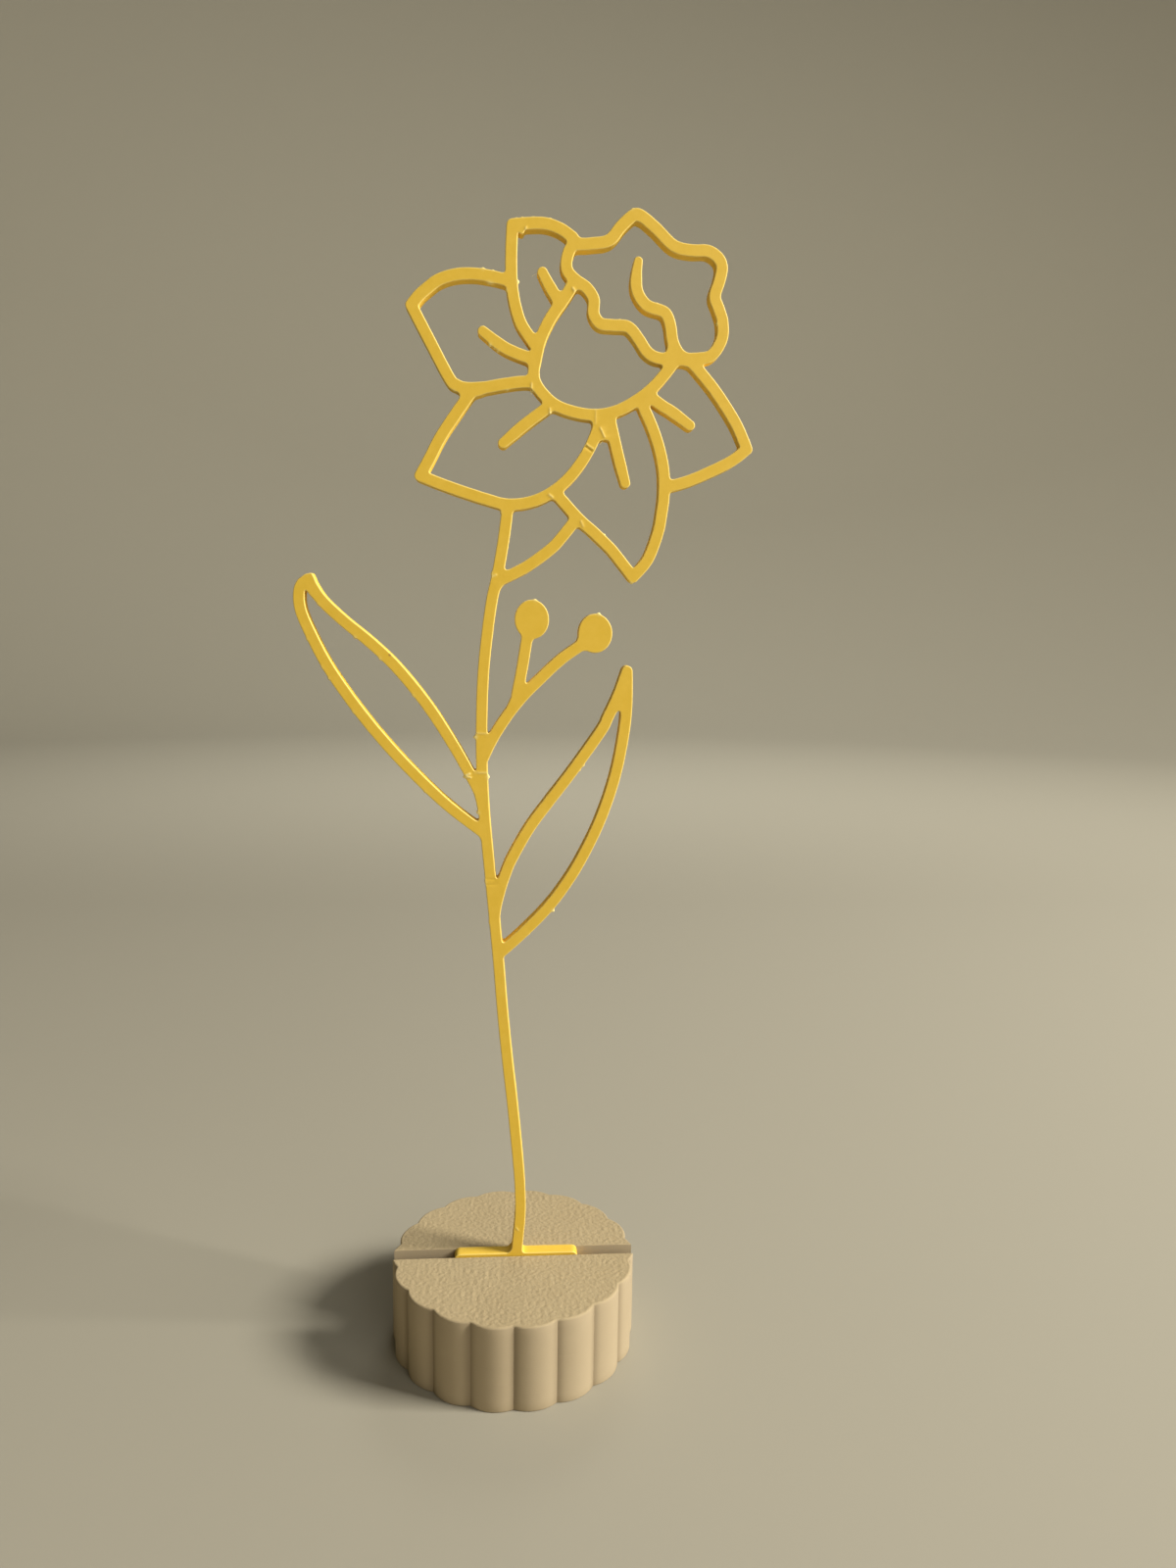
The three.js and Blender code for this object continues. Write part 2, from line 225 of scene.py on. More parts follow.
# How soft the fillets are between lines, in millimetres: everywhere, and at places of their own as
# (x, z, reach, softness).
FILLET = 0.75
FILLET_SPOTS = [
    (-38.9, 151.5, 3.0, 0.2),
    (-16.9, 202.6, 3.0, 0.35),
    (-0.1, 216.4, 3.0, 0.35),
    (-16.4, 174.3, 3.0, 0.35),
    (21.7, 157.6, 3.0, 0.35),
    (41.0, 180.0, 3.0, 0.35),
    (-1.0, 153.3, 2.5, 2.6),
    (-1.2, 131.6, 2.5, 2.6),
    (-0.6, 18.4, 1.2, 1.8),
    (-6.9, 187.6, 3.0, 3.2),
    (2.0, 188.6, 1.5, 1.5),
    (28.9, 197.2, 2.3, 3.0),
    (20.8, 218.6, 1.2, 1.6),
    (-38.2, 155.2, 0.6, 0.5),
    (12.2, 143.2, 2.0, 1.5),
    (1.4, 143.6, 1.6, 1.2),
    (15.9, 182.6, 2.0, 2.6),
    (-7.4, 106.3, 2.0, 1.6),
]

# Nibs that printing left on the edges, near the front: (x, z, reach, height), each moved to the nearest
# point of the outline and pushed out of the wall there.
NIB_Y = -1.0
NIB_WIDTH = 0.72
NIB_HEIGHT = 1.15
NIBS = [
    (-7.93, 124.93, 0.55, 0.42), (-5.03, 117.24, 0.6, 0.30), (-7.21, 110.27, 0.5, 0.35),
    (-9.78, 117.29, 0.4, 0.35), (-5.88, 96.57, 0.6, 0.14), (-5.0, 155.9, 0.6, 0.16),
    (-3.1, 167.0, 0.35, 0.2), (7.57, 90.62, 0.5, 0.38), (2.9, 85.89, 0.3, 0.14),
    (17.11, 129.86, 0.25, 0.16), (13.1, 119.6, 0.4, 0.2), (12.4, 118.6, 0.35, 0.14),
    (-39.14, 143.19, 0.45, 0.16), (-36.35, 137.88, 0.5, 0.14), (-35.06, 136.01, 0.45, 0.2),
    (-30.64, 129.69, 0.5, 0.14), (-17.6, 114.3, 0.4, 0.16), (-30.26, 143.63, 0.5, 0.26),
    (-25.47, 139.89, 0.55, 0.2), (-19.29, 132.93, 0.5, 0.18), (-37.0, 149.5, 0.4, 0.16),
    (3.51, 150.95, 0.5, 0.2), (15.6, 148.87, 0.5, 0.3), (0.19, 207.77, 0.4, 0.3),
    (-6.26, 209.76, 0.5, 0.22), (-4.54, 209.31, 0.35, 0.16), (-5.0, 207.4, 0.9, 0.15),
    (-2.17, 206.18, 0.35, 0.22), (-0.41, 218.33, 0.35, 0.14), (0.67, 218.6, 0.3, 0.16),
    (2.57, 218.59, 0.5, 0.08), (5.69, 218.65, 0.3, 0.16), (-5.3, 196.29, 0.38, 0.42),
    (-4.3, 196.0, 0.3, 0.2), (-3.49, 195.82, 0.3, 0.36), (2.34, 188.5, 0.28, 0.4),
    (-1.9, 188.7, 0.35, 0.16), (6.24, 184.6, 0.45, 0.18), (8.3, 207.6, 0.3, 0.15),
    (36.59, 201.67, 0.35, 0.22), (25.32, 204.93, 0.3, 0.12), (18.58, 201.8, 0.3, 0.12),
    (16.54, 163.53, 0.3, 0.16), (21.68, 154.73, 0.4, 0.28), (-11.3, 189.2, 0.35, 0.16),
    (20.25, 221.2, 0.4, 0.18),
]

# Ridges on the front face, and grooves where the height is below zero: (x0, z0, x1, z1, width, height).
RIDGES = [
    (-7.5, 125.75, -5.6, 125.7, 0.2, 0.04), (-7.9, 118.1, -5.3, 118.15, 0.2, 0.05),
    (-9.6, 117.6, -8.9, 117.9, 0.2, 0.12), (-9.4, 117.3, -8.7, 117.2, 0.18, 0.1),
    (-5.6, 97.1, -3.9, 97.1, 0.15, -0.04), (-5.6, 96.0, -3.9, 96.05, 0.15, -0.04),
    (12.61, 179.22, 13.75, 178.45, 0.2, -0.11), (12.78, 179.55, 13.95, 178.8, 0.2, 0.06),
    (15.3, 182.6, 16.1, 181.0, 0.17, 0.07), (2.55, 190.1, 2.5, 189.3, 0.16, 0.07),
    (5.9, 185.8, 5.95, 185.05, 0.16, 0.07), (6.0, 184.95, 6.7, 184.95, 0.16, 0.07),
    (1.35, 216.9, 1.15, 215.9, 0.16, 0.07), (11.95, 165.7, 12.35, 164.8, 0.16, 0.06),
    (5.95, 170.4, 6.55, 169.95, 0.2, 0.07), (0.5, 23.6, 0.9, 23.0, 0.15, 0.06),
    (14.4, 185.9, 14.4, 183.4, 0.15, 0.03), (9.9, 206.9, 10.6, 205.8, 0.18, 0.08),
    (-5.2, 155.0, -3.9, 155.6, 0.2, 0.06),
]

# Small blobs in the corners between lines: (x, z, half width, half height).
BLOBS = [
    (0.55, 216.3, 0.5, 0.55), (15.95, 181.4, 0.55, 0.9), (12.0, 165.3, 0.6, 0.6),
    (-38.1, 155.02, 0.38, 0.38), (20.8, 219.2, 0.65, 0.55),
]

# Loose hairs of plastic: (x, z) at the root, (dx, dz) to the free end, thickness. They grow from one
# depth y, lean a little to the front, start inside the line, bend and taper.
HAIR_Y = -0.9
HAIR_LEAN = -0.15
HAIR_SUNK = 0.12
HAIR_BEND = 0.08
HAIR_TAPER = 0.7
HAIR_SIDES = 6
HAIR_STEPS = 6
HAIRS = [
    (-9.3, 117.5, -0.65, -0.3, 0.16), (-7.35, 110.3, -0.4, 0.45, 0.18),
    (-11.0, 188.5, -0.35, 0.95, 0.12), (2.4, 189.3, 0.02, -1.25, 0.27),
    (15.95, 180.6, -0.7, -1.1, 0.16), (11.95, 164.35, 3.8, -4.45, 0.13), (4.0, 209.9, -1.6, -1.5, 0.08),
]

# The grid that the flower's outline is traced on, and the spacing of points along the outline.
GRID = 0.15
GRID_LOW = np.array((-44.0, 7.5))
GRID_HIGH = np.array((46.0, 223.0))
REACH = 3.4
FAR = 99.0
OUTLINE_STEP = 0.52
FINEST_STEP = 0.13
BEND_STEP = 0.24
NIB_STEP = 0.13
TRACE_STEP = 0.1
FEWEST_POINTS = 8
SOFTEST = 1e-6
TINY = 1e-9

# Points over the panel's faces: along lines at (depth inside the outline, every so many points), on the
# ridges, and on the wide faces of the berries and the foot bar.
FACE_LINES = ((0.66, 3), (0.88, 4))
FACE_GAP = 0.14
RIDGE_STEP = 0.15
RIDGE_SPOTS = 7
RIDGE_SPREAD = 2.4
RIDGE_CLEARANCE = 0.08
BERRY_RINGS = 4
BERRY_RING_STEP = (0.6, 0.66)
BAR_FIRST = (2.6, 2.2)
BAR_STEP = (2.5, 2.0)
BAR_COUNT = (9, 3)

# The heights at which a ridge and a nib are fully pale, paler plastic with a painted highlight, and the
# share of a nib that shows on the face.
PALE_RISE = 0.13
PALE_NIB = 0.25
FACE_NIB_SHARE = 0.35

# The yellow plastic. Noise is (scale, detail, roughness), and bumps are in millimetres.
LAYER = 0.2
PLASTIC_IOR = 1.46
YELLOW_DEEP = (0.75, 0.48, 0.036, 1)
YELLOW_LIGHT = (0.84, 0.56, 0.072, 1)
# A painted highlight: the paler rim along the edges of the faces.
YELLOW_RIM_HIGHLIGHT = (0.90, 0.74, 0.26, 1)
# Pale print marks: the plastic's own paler burrs and whiskers, with a painted highlight where they stand
# out.
YELLOW_PALE_HIGHLIGHT = (0.96, 0.84, 0.36, 1)
YELLOW_PATCHES = (420, 4, 0.65)
YELLOW_FINE = (2200, 3, 0.6)
YELLOW_UNEVEN = (900, 2, 0.5)
YELLOW_FINE_BUMP = 0.007
YELLOW_LAYER_BUMP = 0.008
LEAST_UNEVEN = 0.3
YELLOW_ROUGHNESS = 0.38
YELLOW_SHINE = 0.4
WALL_DULLNESS = 0.45
# The width and strength of the painted highlight on the rim, and how strongly the pale marks, partly a
# painted highlight, show.
HIGHLIGHT_RIM_WIDTH = 0.26
HIGHLIGHT_RIM_STRENGTH = 0.62
MARK_HIGHLIGHT_STRENGTH = 0.85
# A small burnt speck on the left leaf.
SPECK = (-23.78, -1.4, 140.44)
SPECK_RADIUS = 0.22
SPECK_EDGE = 1.6
SPECK_STRENGTH = 0.7
SPECK_COLOUR = (0.36, 0.17, 0.06, 1)

# The beige plastic. The layers that close over the slot's floor show as a rougher band.
BEIGE_DEEP = (0.405, 0.32, 0.197, 1)
BEIGE_LIGHT = (0.455, 0.366, 0.23, 1)
# The colour and strength of the painted shade in the grooves between scallops.
BEIGE_GROOVE_SHADE = (0.17, 0.125, 0.07, 1)
GROOVE_SHADE = 0.42
# A warmer tint on the faces that look up: painted warm light falling on the top.
PAINTED_TOP_LIGHT_TINT = (0.97, 0.955, 0.85, 1)
BEIGE_PATCHES = (120, 4, 0.55)
BEIGE_FINE = (3000, 3, 0.65)
BEIGE_STREAKS = (1900, 2, 0.6)
STREAK_SQUASH = (0.06, 0.06, 1.0)
BEIGE_FINE_BUMP = 0.035
BEIGE_LAYER_BUMP = 0.014
WAVE_SHARE = 0.12
WALL_FINE_SHARE = 0.3
BEIGE_ROUGHNESS = 0.8
BEIGE_SHINE = 0.25
BAND_HEIGHT = 9.2
BAND_REACH = 0.7
BAND_ROUGHNESS = 1.6

# The studio in metres, and its lights as (name, azimuth, elevation, distance, size, power, colour),
# with angles in degrees.
STUDIO_REACH = 1.2
STUDIO_BEND = 0.6
STUDIO_HEIGHT = 1.8
STUDIO_STEPS = 12
STUDIO_SIDES = 96
FLOOR_COLOUR = (0.345, 0.318, 0.24, 1)
FLOOR_ROUGHNESS = 0.9
AIM_HEIGHT = 0.1
LIGHTS = [
    ("key", 345, 33, 1.5, 0.45, 38.0, (1.0, 0.97, 0.93)),
    ("front", 300, 30, 1.4, 0.9, 5.6, (1.0, 0.98, 0.96)),
    ("back", 80, 38, 1.5, 0.5, 3.0, (1.0, 1.0, 1.0)),
    ("backdrop", 90, 45, 0.9, 0.8, 4.0, (1.0, 1.0, 1.0)),
]
# The way the back of the last light faces.
BACKDROP_BACK = (0, -0.9, 0.35)
WORLD_COLOUR = (1.0, 0.9, 0.72, 1)
WORLD_STRENGTH = 0.012


def smooth_path(points, closed=False, step=0.3):
    """Points along the smooth curve that passes through the given ones."""
    p = np.array(points, float)
    if closed:
        p = np.vstack([p[-1:], p, p[:2]])
    else:
        p = np.vstack([p[:1], p, p[-1:]])
    spans = []
    for p0, p1, p2, p3 in zip(p[:-3], p[1:-2], p[2:-1], p[3:]):
        count = max(2, math.ceil(np.linalg.norm(p2 - p1) / step))
        t = (np.arange(count) / count)[:, None]
        bend = (2 * p0 - 5 * p1 + 4 * p2 - p3) * t**2 + (3 * p1 - p0 - 3 * p2 + p3) * t**3
        spans.append(0.5 * (2 * p1 + (p2 - p0) * t + bend))
    return np.vstack(spans + [p[-2:-1]])


class Plan:
    """A flat shape as a field: how far each grid point lies outside it, and the way straight out."""

    def __init__(self):
        self.xs = np.arange(GRID_LOW[0], GRID_HIGH[0], GRID)
        self.zs = np.arange(GRID_LOW[1], GRID_HIGH[1], GRID)
        shape = (len(self.zs), len(self.xs))
        self.depth = np.full(shape, FAR)
        self.out_x = np.zeros(shape)
        self.out_z = np.zeros(shape)
        self.softness = np.full(shape, FILLET)
        for x, z, reach, softness in FILLET_SPOTS:
            window = self.window((x, z), (x, z), 3 * reach)
            far2 = (self.xs[window[1]][None] - x) ** 2 + (self.zs[window[0]][:, None] - z) ** 2
            self.softness[window] += (softness - FILLET) * np.exp(-far2 / reach**2)

    def window(self, low, high, margin):
        j0, j1 = np.searchsorted(self.xs, (low[0] - margin, high[0] + margin))
        i0, i1 = np.searchsorted(self.zs, (low[1] - margin, high[1] + margin))
        return slice(i0, i1), slice(j0, j1)

    def join(self, window, depth, out_x, out_z):
        """Adds a shape, with a fillet where its side meets the old one at an angle."""
        old = self.depth[window]
        facing = self.out_x[window] * out_x + self.out_z[window] * out_z
        soft = self.softness[window] * np.clip(1 - facing, 0, 1) + SOFTEST
        share = np.clip(0.5 + 0.5 * (old - depth) / soft, 0, 1)
        self.depth[window] = old + (depth - old) * share - soft * share * (1 - share)
        mixed_x = self.out_x[window] * (1 - share) + out_x * share
        mixed_z = self.out_z[window] * (1 - share) + out_z * share
        length = np.hypot(mixed_x, mixed_z) + TINY
        self.out_x[window] = mixed_x / length
        self.out_z[window] = mixed_z / length

    def add_line(self, points, half=LINE_HALF, closed=False, corner=None, narrow_start=0.0):
        """Adds a line along a smooth path: its start is round, or flat with rounded corners."""
        path = smooth_path(points, closed)
        reach = np.concatenate([[0], np.cumsum(np.hypot(*np.diff(path, axis=0).T))])
        halves = half - narrow_start * np.clip(1 - reach / TAPER_REACH, 0, 1)
        window = self.window(path.min(0), path.max(0), REACH)
        xs = self.xs[window[1]]
        zs = self.zs[window[0]]
        best = np.full((len(zs), len(xs)), FAR)
        best_x = np.zeros_like(best)
        best_z = np.zeros_like(best)
        for number, (a, b) in enumerate(zip(path[:-1], path[1:])):
            low = np.minimum(a, b) - REACH
            high = np.maximum(a, b) + REACH
            j0, j1 = np.searchsorted(xs, (low[0], high[0]))
            i0, i1 = np.searchsorted(zs, (low[1], high[1]))
            part = (slice(i0, i1), slice(j0, j1))
            along = (b - a) / np.linalg.norm(b - a)
            x = xs[j0:j1][None] - a[0]
            z = zs[i0:i1][:, None] - a[1]
            u = x * along[0] + z * along[1]
            v = z * along[0] - x * along[1]
            past = u - np.clip(u, 0, np.linalg.norm(b - a))
            far = np.hypot(past, v)
            if corner is not None and number == 0:
                corner_v = np.maximum(np.abs(v) - (halves[0] - corner), 0)
                blunt = np.hypot(past, corner_v) - corner + halves[0]
                far = np.where(u < 0, blunt, far)
            far = far - halves[number]
            nearer = far < best[part]
            length = np.hypot(past, v) + TINY
            best[part] = np.where(nearer, far, best[part])
            way_x = (past * along[0] - v * along[1]) / length
            way_z = (past * along[1] + v * along[0]) / length
            best_x[part] = np.where(nearer, way_x, best_x[part])
            best_z[part] = np.where(nearer, way_z, best_z[part])
        self.join(window, best, best_x, best_z)

    def add_oval(self, centre, half_width, half_height):
        window = self.window(centre, centre, half_height + REACH)
        x = self.xs[window[1]][None] - centre[0]
        z = self.zs[window[0]][:, None] - centre[1]
        reach = np.hypot(x / half_width, z / half_height)
        slope = np.hypot(x / half_width**2, z / half_height**2)
        depth = np.where(reach > 0.05, reach * (reach - 1) / (slope + TINY), -half_width)
        length = slope + TINY
        self.join(window, depth, x / half_width**2 / length, z / half_height**2 / length)

    def add_bar(self, low, high, corner):
        window = self.window(low, high, REACH)
        centre = (np.array(low) + high) / 2
        half = (np.array(high) - low) / 2 - corner
        x = self.xs[window[1]][None] - centre[0]
        z = self.zs[window[0]][:, None] - centre[1]
        qx = np.abs(x) - half[0] + 0 * z
        qz = np.abs(z) - half[1] + 0 * x
        outer = np.hypot(np.maximum(qx, 0), np.maximum(qz, 0))
        depth = outer + np.minimum(np.maximum(qx, qz), 0) - corner
        flat = outer == 0
        way_x = np.where(flat, qx > qz, np.maximum(qx, 0)) * np.sign(x)
        way_z = np.where(flat, qx <= qz, np.maximum(qz, 0)) * np.sign(z)
        length = np.hypot(way_x, way_z) + TINY
        self.join(window, depth, way_x / length, way_z / length)

    def sample(self, field, points):
        """The field's value at points that lie between grid points."""
        u = (points[:, 0] - self.xs[0]) / GRID
        v = (points[:, 1] - self.zs[0]) / GRID
        j = np.clip(u.astype(int), 0, len(self.xs) - 2)
        i = np.clip(v.astype(int), 0, len(self.zs) - 2)
        fu = u - j
        fv = v - i
        low = field[i, j] * (1 - fu) + field[i, j + 1] * fu
        high = field[i + 1, j] * (1 - fu) + field[i + 1, j + 1] * fu
        return low * (1 - fv) + high * fv

    def trace(self, level):
        """Closed outlines where the depth crosses a level, each with the shape on its left."""
        f = self.depth - level
        rows, cols = f.shape
        side = f < 0
        vertical = rows * cols
        kind = side[:-1, :-1] * 1 + side[:-1, 1:] * 2 + side[1:, 1:] * 4 + side[1:, :-1] * 8
        turns = {
            1: [(0, 3)], 2: [(1, 0)], 3: [(1, 3)], 4: [(2, 1)], 5: [(0, 3), (2, 1)], 6: [(2, 0)],
            7: [(2, 3)], 8: [(3, 2)], 9: [(0, 2)], 10: [(1, 0), (3, 2)], 11: [(1, 2)], 12: [(3, 1)],
            13: [(0, 1)], 14: [(3, 0)],
        }
        follow = {}
        for case, pairs in turns.items():
            i, j = np.nonzero(kind == case)
            low = i * cols + j
            edges = (low, vertical + low + 1, low + cols, vertical + low)
            for start, end in pairs:
                follow.update(zip(edges[start].tolist(), edges[end].tolist()))
        loops = []
        while follow:
            first, current = next(iter(follow.items()))
            del follow[first]
            loop = [first]
            while current != first:
                loop.append(current)
                current = follow.pop(current)
            loops.append(self.crossings(f, np.array(loop), vertical, cols))
        return loops

    def crossings(self, f, edges, vertical, cols):
        upright = edges >= vertical
        cell = np.where(upright, edges - vertical, edges)
        i = cell // cols
        j = cell % cols
        i2 = np.where(upright, i + 1, i)
        j2 = np.where(upright, j, j + 1)
        t = f[i, j] / (f[i, j] - f[i2, j2])
        x = self.xs[j] + np.where(upright, 0, t) * GRID
        z = self.zs[i] + np.where(upright, t, 0) * GRID
        return np.column_stack([x, z])


def spread_points(loop, weight, count):
    """Points along a closed outline, spaced by the weight of each stretch between its points."""
    ring = np.vstack([loop, loop[:1]])
    reach = np.concatenate([[0], np.cumsum(weight)])
    at = np.arange(count) * reach[-1] / count
    return np.column_stack([np.interp(at, reach, ring[:, k]) for k in (0, 1)])


def stretches(loop):
    return np.hypot(*(np.roll(loop, -1, axis=0) - loop).T)


def blend_neighbours(values, rounds):
    for _ in range(rounds):
        values = 0.5 * values + 0.25 * (np.roll(values, 1, axis=0) + np.roll(values, -1, axis=0))
    return values


def outline_points(loop):
    """The outline with points closer together where it bends and round the nibs."""
    length = stretches(loop)
    even = spread_points(loop, length, max(FEWEST_POINTS, round(length.sum() / TRACE_STEP)))
    even = blend_neighbours(even, 3)
    before = even - np.roll(even, 3, axis=0)
    after = np.roll(even, -3, axis=0) - even
    cross = before[:, 0] * after[:, 1] - before[:, 1] * after[:, 0]
    bend = np.abs(np.arctan2(cross, (before * after).sum(1))) / (3 * TRACE_STEP)
    density = 1 / OUTLINE_STEP + bend / BEND_STEP
    for x, z, reach, _ in NIBS:
        near = np.hypot(even[:, 0] - x, even[:, 1] - z) < 0.5 + 1.5 * reach
        density[near] = np.maximum(density[near], 1 / NIB_STEP)
    weight = np.minimum(density, 1 / FINEST_STEP) * stretches(even)
    return spread_points(even, weight, max(FEWEST_POINTS, round(weight.sum())))


def outward(loop):
    """The way straight out at each point of a closed outline that has the shape on its left."""
    along = np.roll(loop, -1, axis=0) - np.roll(loop, 1, axis=0)
    along /= np.linalg.norm(along, axis=1)[:, None]
    way = blend_neighbours(np.column_stack([along[:, 1], -along[:, 0]]), 2)
    return way / np.linalg.norm(way, axis=1)[:, None]


def flower_plan():
    plan = Plan()
    plan.add_line(STEM)
    outer, inner = LEFT_LEAF
    plan.add_line(outer, LEFT_LEAF_HALF)
    plan.add_line(inner, LEFT_LEAF_HALF, narrow_start=-LEAF_TIP_WIDER)
    for points in RIGHT_LEAF + BERRY_STALKS:
        plan.add_line(points)
    for centre in BERRY_CENTRES:
        plan.add_oval(centre, BERRY_HALF_WIDTH, BERRY_HALF_HEIGHT)
    for points in [CALYX] + PETALS + [CUP]:
        plan.add_line(points)
    plan.add_line(CROWN, closed=True)
    plan.add_line(CROWN_FOLD, corner=BLUNT_CORNER, narrow_start=FOLD_END_NARROWER)
    for points in VEINS:
        plan.add_line(points, corner=BLUNT_CORNER, narrow_start=VEIN_END_NARROWER)
    top = STAND_HEIGHT + FOOT_PROUD
    plan.add_bar((FOOT_LEFT, SLOT_FLOOR), (FOOT_RIGHT, top), FOOT_CORNER)
    for x, z, half_width, half_height in BLOBS:
        plan.add_oval((x, z), half_width, half_height)
    return plan


def face_relief(points):
    """How far each point of the front face stands proud, from the ridges that printing left."""
    height = np.zeros(len(points))
    for x0, z0, x1, z1, width, rise in RIDGES:
        along = np.array((x1 - x0, z1 - z0))
        length = np.linalg.norm(along)
        along /= length
        u = (points[:, 0] - x0) * along[0] + (points[:, 1] - z0) * along[1]
        v = (points[:, 1] - z0) * along[0] - (points[:, 0] - x0) * along[1]
        past = u - np.clip(u, 0, length)
        height += rise * np.exp(-(v**2 + past**2) / width**2)
    return height


def ridge_points(plan):
    """Extra points on the front face round its ridges, so that they are smooth."""
    spots = []
    for x0, z0, x1, z1, width, _ in RIDGES:
        for t in np.linspace(0, 1, RIDGE_SPOTS):
            spots.append((x0 + (x1 - x0) * t, z0 + (z1 - z0) * t, RIDGE_SPREAD * width))
    found = {}
    for x, z, reach in spots:
        for i in range(math.floor((z - reach) / RIDGE_STEP), math.ceil((z + reach) / RIDGE_STEP)):
            for j in range(math.floor((x - reach) / RIDGE_STEP), math.ceil((x + reach) / RIDGE_STEP)):
                point = (j * RIDGE_STEP + 0.5 * RIDGE_STEP * (i % 2), i * RIDGE_STEP)
                if math.dist(point, (x, z)) < reach:
                    found[(i, j)] = point
    points = np.array(list(found.values()))
    return points[plan.sample(plan.depth, points) < -(EDGE_RADIUS + FLAT_RIM + RIDGE_CLEARANCE)]


def nib_push(ring, y):
    """How far the nibs push the wall out at each outline point, at one height y through the panel."""
    push = np.zeros(len(ring))
    for x, z, reach, rise in NIBS:
        far2 = (ring[:, 0] - x) ** 2 + (ring[:, 1] - z) ** 2
        centre = ring[np.argmin(far2)]
        far2 = ((ring - centre) ** 2).sum(1) + (0.7 * (y - NIB_Y)) ** 2
        push += NIB_HEIGHT * rise * np.exp(-far2 / (NIB_WIDTH * reach) ** 2)
    return push


def wobble(ring, y):
    """The slight unevenness of a printed wall."""
    return np.array([WOBBLE * noise.noise(Vector((x, z, 0.4 * y)) * WOBBLE_RATE) for x, z in ring])


def wall_rows():
    """The section of the panel's edge from front to back: (inset, y, share of the front's relief)."""
    half = THICKNESS / 2
    front = [(EDGE_RADIUS + FLAT_RIM, -half, 1.0)]
    for step in range(ROUND_STEPS + 1):
        angle = math.pi / 2 * (1 - step / ROUND_STEPS)
        inset = EDGE_RADIUS * (1 - math.cos(angle))
        front.append((inset, -half + EDGE_RADIUS * (1 - math.sin(angle)), math.sin(angle)))
    back = [(inset, -y, 0.0) for inset, y, _ in reversed(front)]
    return front + [(0.0, y, 0.0) for y in WALL_ROWS] + back


def triangulate(points, loops, keep):
    """Triangles over the points, bounded by the loops, in the areas that mostly pass the keep test."""
    edges = [(loop[k - 1], loop[k]) for loop in loops for k in range(len(loop))]
    made = delaunay_2d_cdt([Vector(p) for p in points], edges, [], 0, 1e-6)
    places, made_edges, faces, old_points, old_edges = made[:5]
    names = [old[0] if old else None for old in old_points]
    if None in names or len(places) != len(points):
        raise ValueError("the outline crosses itself")
    walls = {frozenset(edge) for edge, old in zip(made_edges, old_edges) if old}
    corners = np.array([[places[v] for v in face] for face in faces])
    inside = keep(corners.mean(1))
    spread = np.abs(np.cross(corners[:, 1] - corners[:, 0], corners[:, 2] - corners[:, 0]))
    kept = []
    for group in areas(faces, walls):
        weight = spread[group]
        if (weight * inside[group]).sum() > 0.5 * weight.sum():
            kept.extend(group)
    return [[names[v] for v in faces[number]] for number in kept]


def areas(faces, walls):
    """The faces in groups that are joined without crossing a wall edge."""
    beside = {}
    for number, face in enumerate(faces):
        for k in range(3):
            edge = frozenset((face[k - 1], face[k]))
            if edge not in walls:
                beside.setdefault(edge, []).append(number)
    linked = [[] for _ in faces]
    for pair in beside.values():
        if len(pair) == 2:
            linked[pair[0]].append(pair[1])
            linked[pair[1]].append(pair[0])
    seen = set()
    groups = []
    for seed in range(len(faces)):
        if seed in seen:
            continue
        group = [seed]
        seen.add(seed)
        for member in group:
            for other in linked[member]:
                if other not in seen:
                    seen.add(other)
                    group.append(other)
        groups.append(group)
    return groups


def make_object(name, verts, faces, sharp_angle):
    mesh = bpy.data.meshes.new(name)
    mesh.from_pydata((np.asarray(verts) * MM).tolist(), [], faces)
    mesh.validate()
    mesh.shade_smooth()
    mesh.set_sharp_from_angle(angle=math.radians(sharp_angle))
    piece = bpy.data.objects.new(name, mesh)
    bpy.context.scene.collection.objects.link(piece)
    return piece


def edge_rows(ring, out):
    """Each row of the panel's edge, front to back, as (points, depth inside the outline, paleness, partly
    a painted highlight).
    """
    rows = []
    for inset, y, share in wall_rows():
        nibs = nib_push(ring, y) * (1 if inset < EDGE_RADIUS else FACE_NIB_SHARE)
        flat = ring + out * (nibs + wobble(ring, y) - inset)[:, None]
        lift = face_relief(flat) * share
        points = np.column_stack([flat[:, 0], y - lift, flat[:, 1]])
        pale = nibs / PALE_NIB + np.maximum(lift, 0) / PALE_RISE
        rows.append((points, np.full(len(ring), inset), pale))
    return rows


def wide_points():
    """Points over the berries' and the foot bar's wide faces."""
    points = []
    for x, z in BERRY_CENTRES:
        for ring in range(BERRY_RINGS):
            for k in range(6 * ring + 1):
                angle = 2 * math.pi * k / max(1, 6 * ring)
                across = BERRY_RING_STEP[0] * ring * math.cos(angle)
                points.append((x + across, z + BERRY_RING_STEP[1] * ring * math.sin(angle)))
    for k in range(BAR_COUNT[0]):
        for row in range(BAR_COUNT[1]):
            x = FOOT_LEFT + BAR_FIRST[0] + BAR_STEP[0] * k
            points.append((x, SLOT_FLOOR + BAR_FIRST[1] + BAR_STEP[1] * row))
    return np.array(points)


def spaced(points, gap):
    """The points that lie at least a gap apart."""
    taken = {}
    kept = []
    for point in points:
        i, j = int(point[0] // gap), int(point[1] // gap)
        near = [taken.get((i + di, j + dj)) for di in (-1, 0, 1) for dj in (-1, 0, 1)]
        if all(other is None or math.dist(point, other) >= gap for other in near):
            taken[(i, j)] = point
            kept.append(point)
    return np.array(kept)


def face_points(plan):
    """Extra points over the faces, so that they shade evenly and carry the ridges."""
    lines = [np.vstack(plan.trace(-depth))[::skip] for depth, skip in FACE_LINES]
    return spaced(np.vstack(lines + [ridge_points(plan), wide_points()]), FACE_GAP)


def add_attribute(piece, name, values):
    made = piece.data.attributes.new(name, "FLOAT", "POINT")
    made.data.foreach_set("value", values.astype(np.float32))


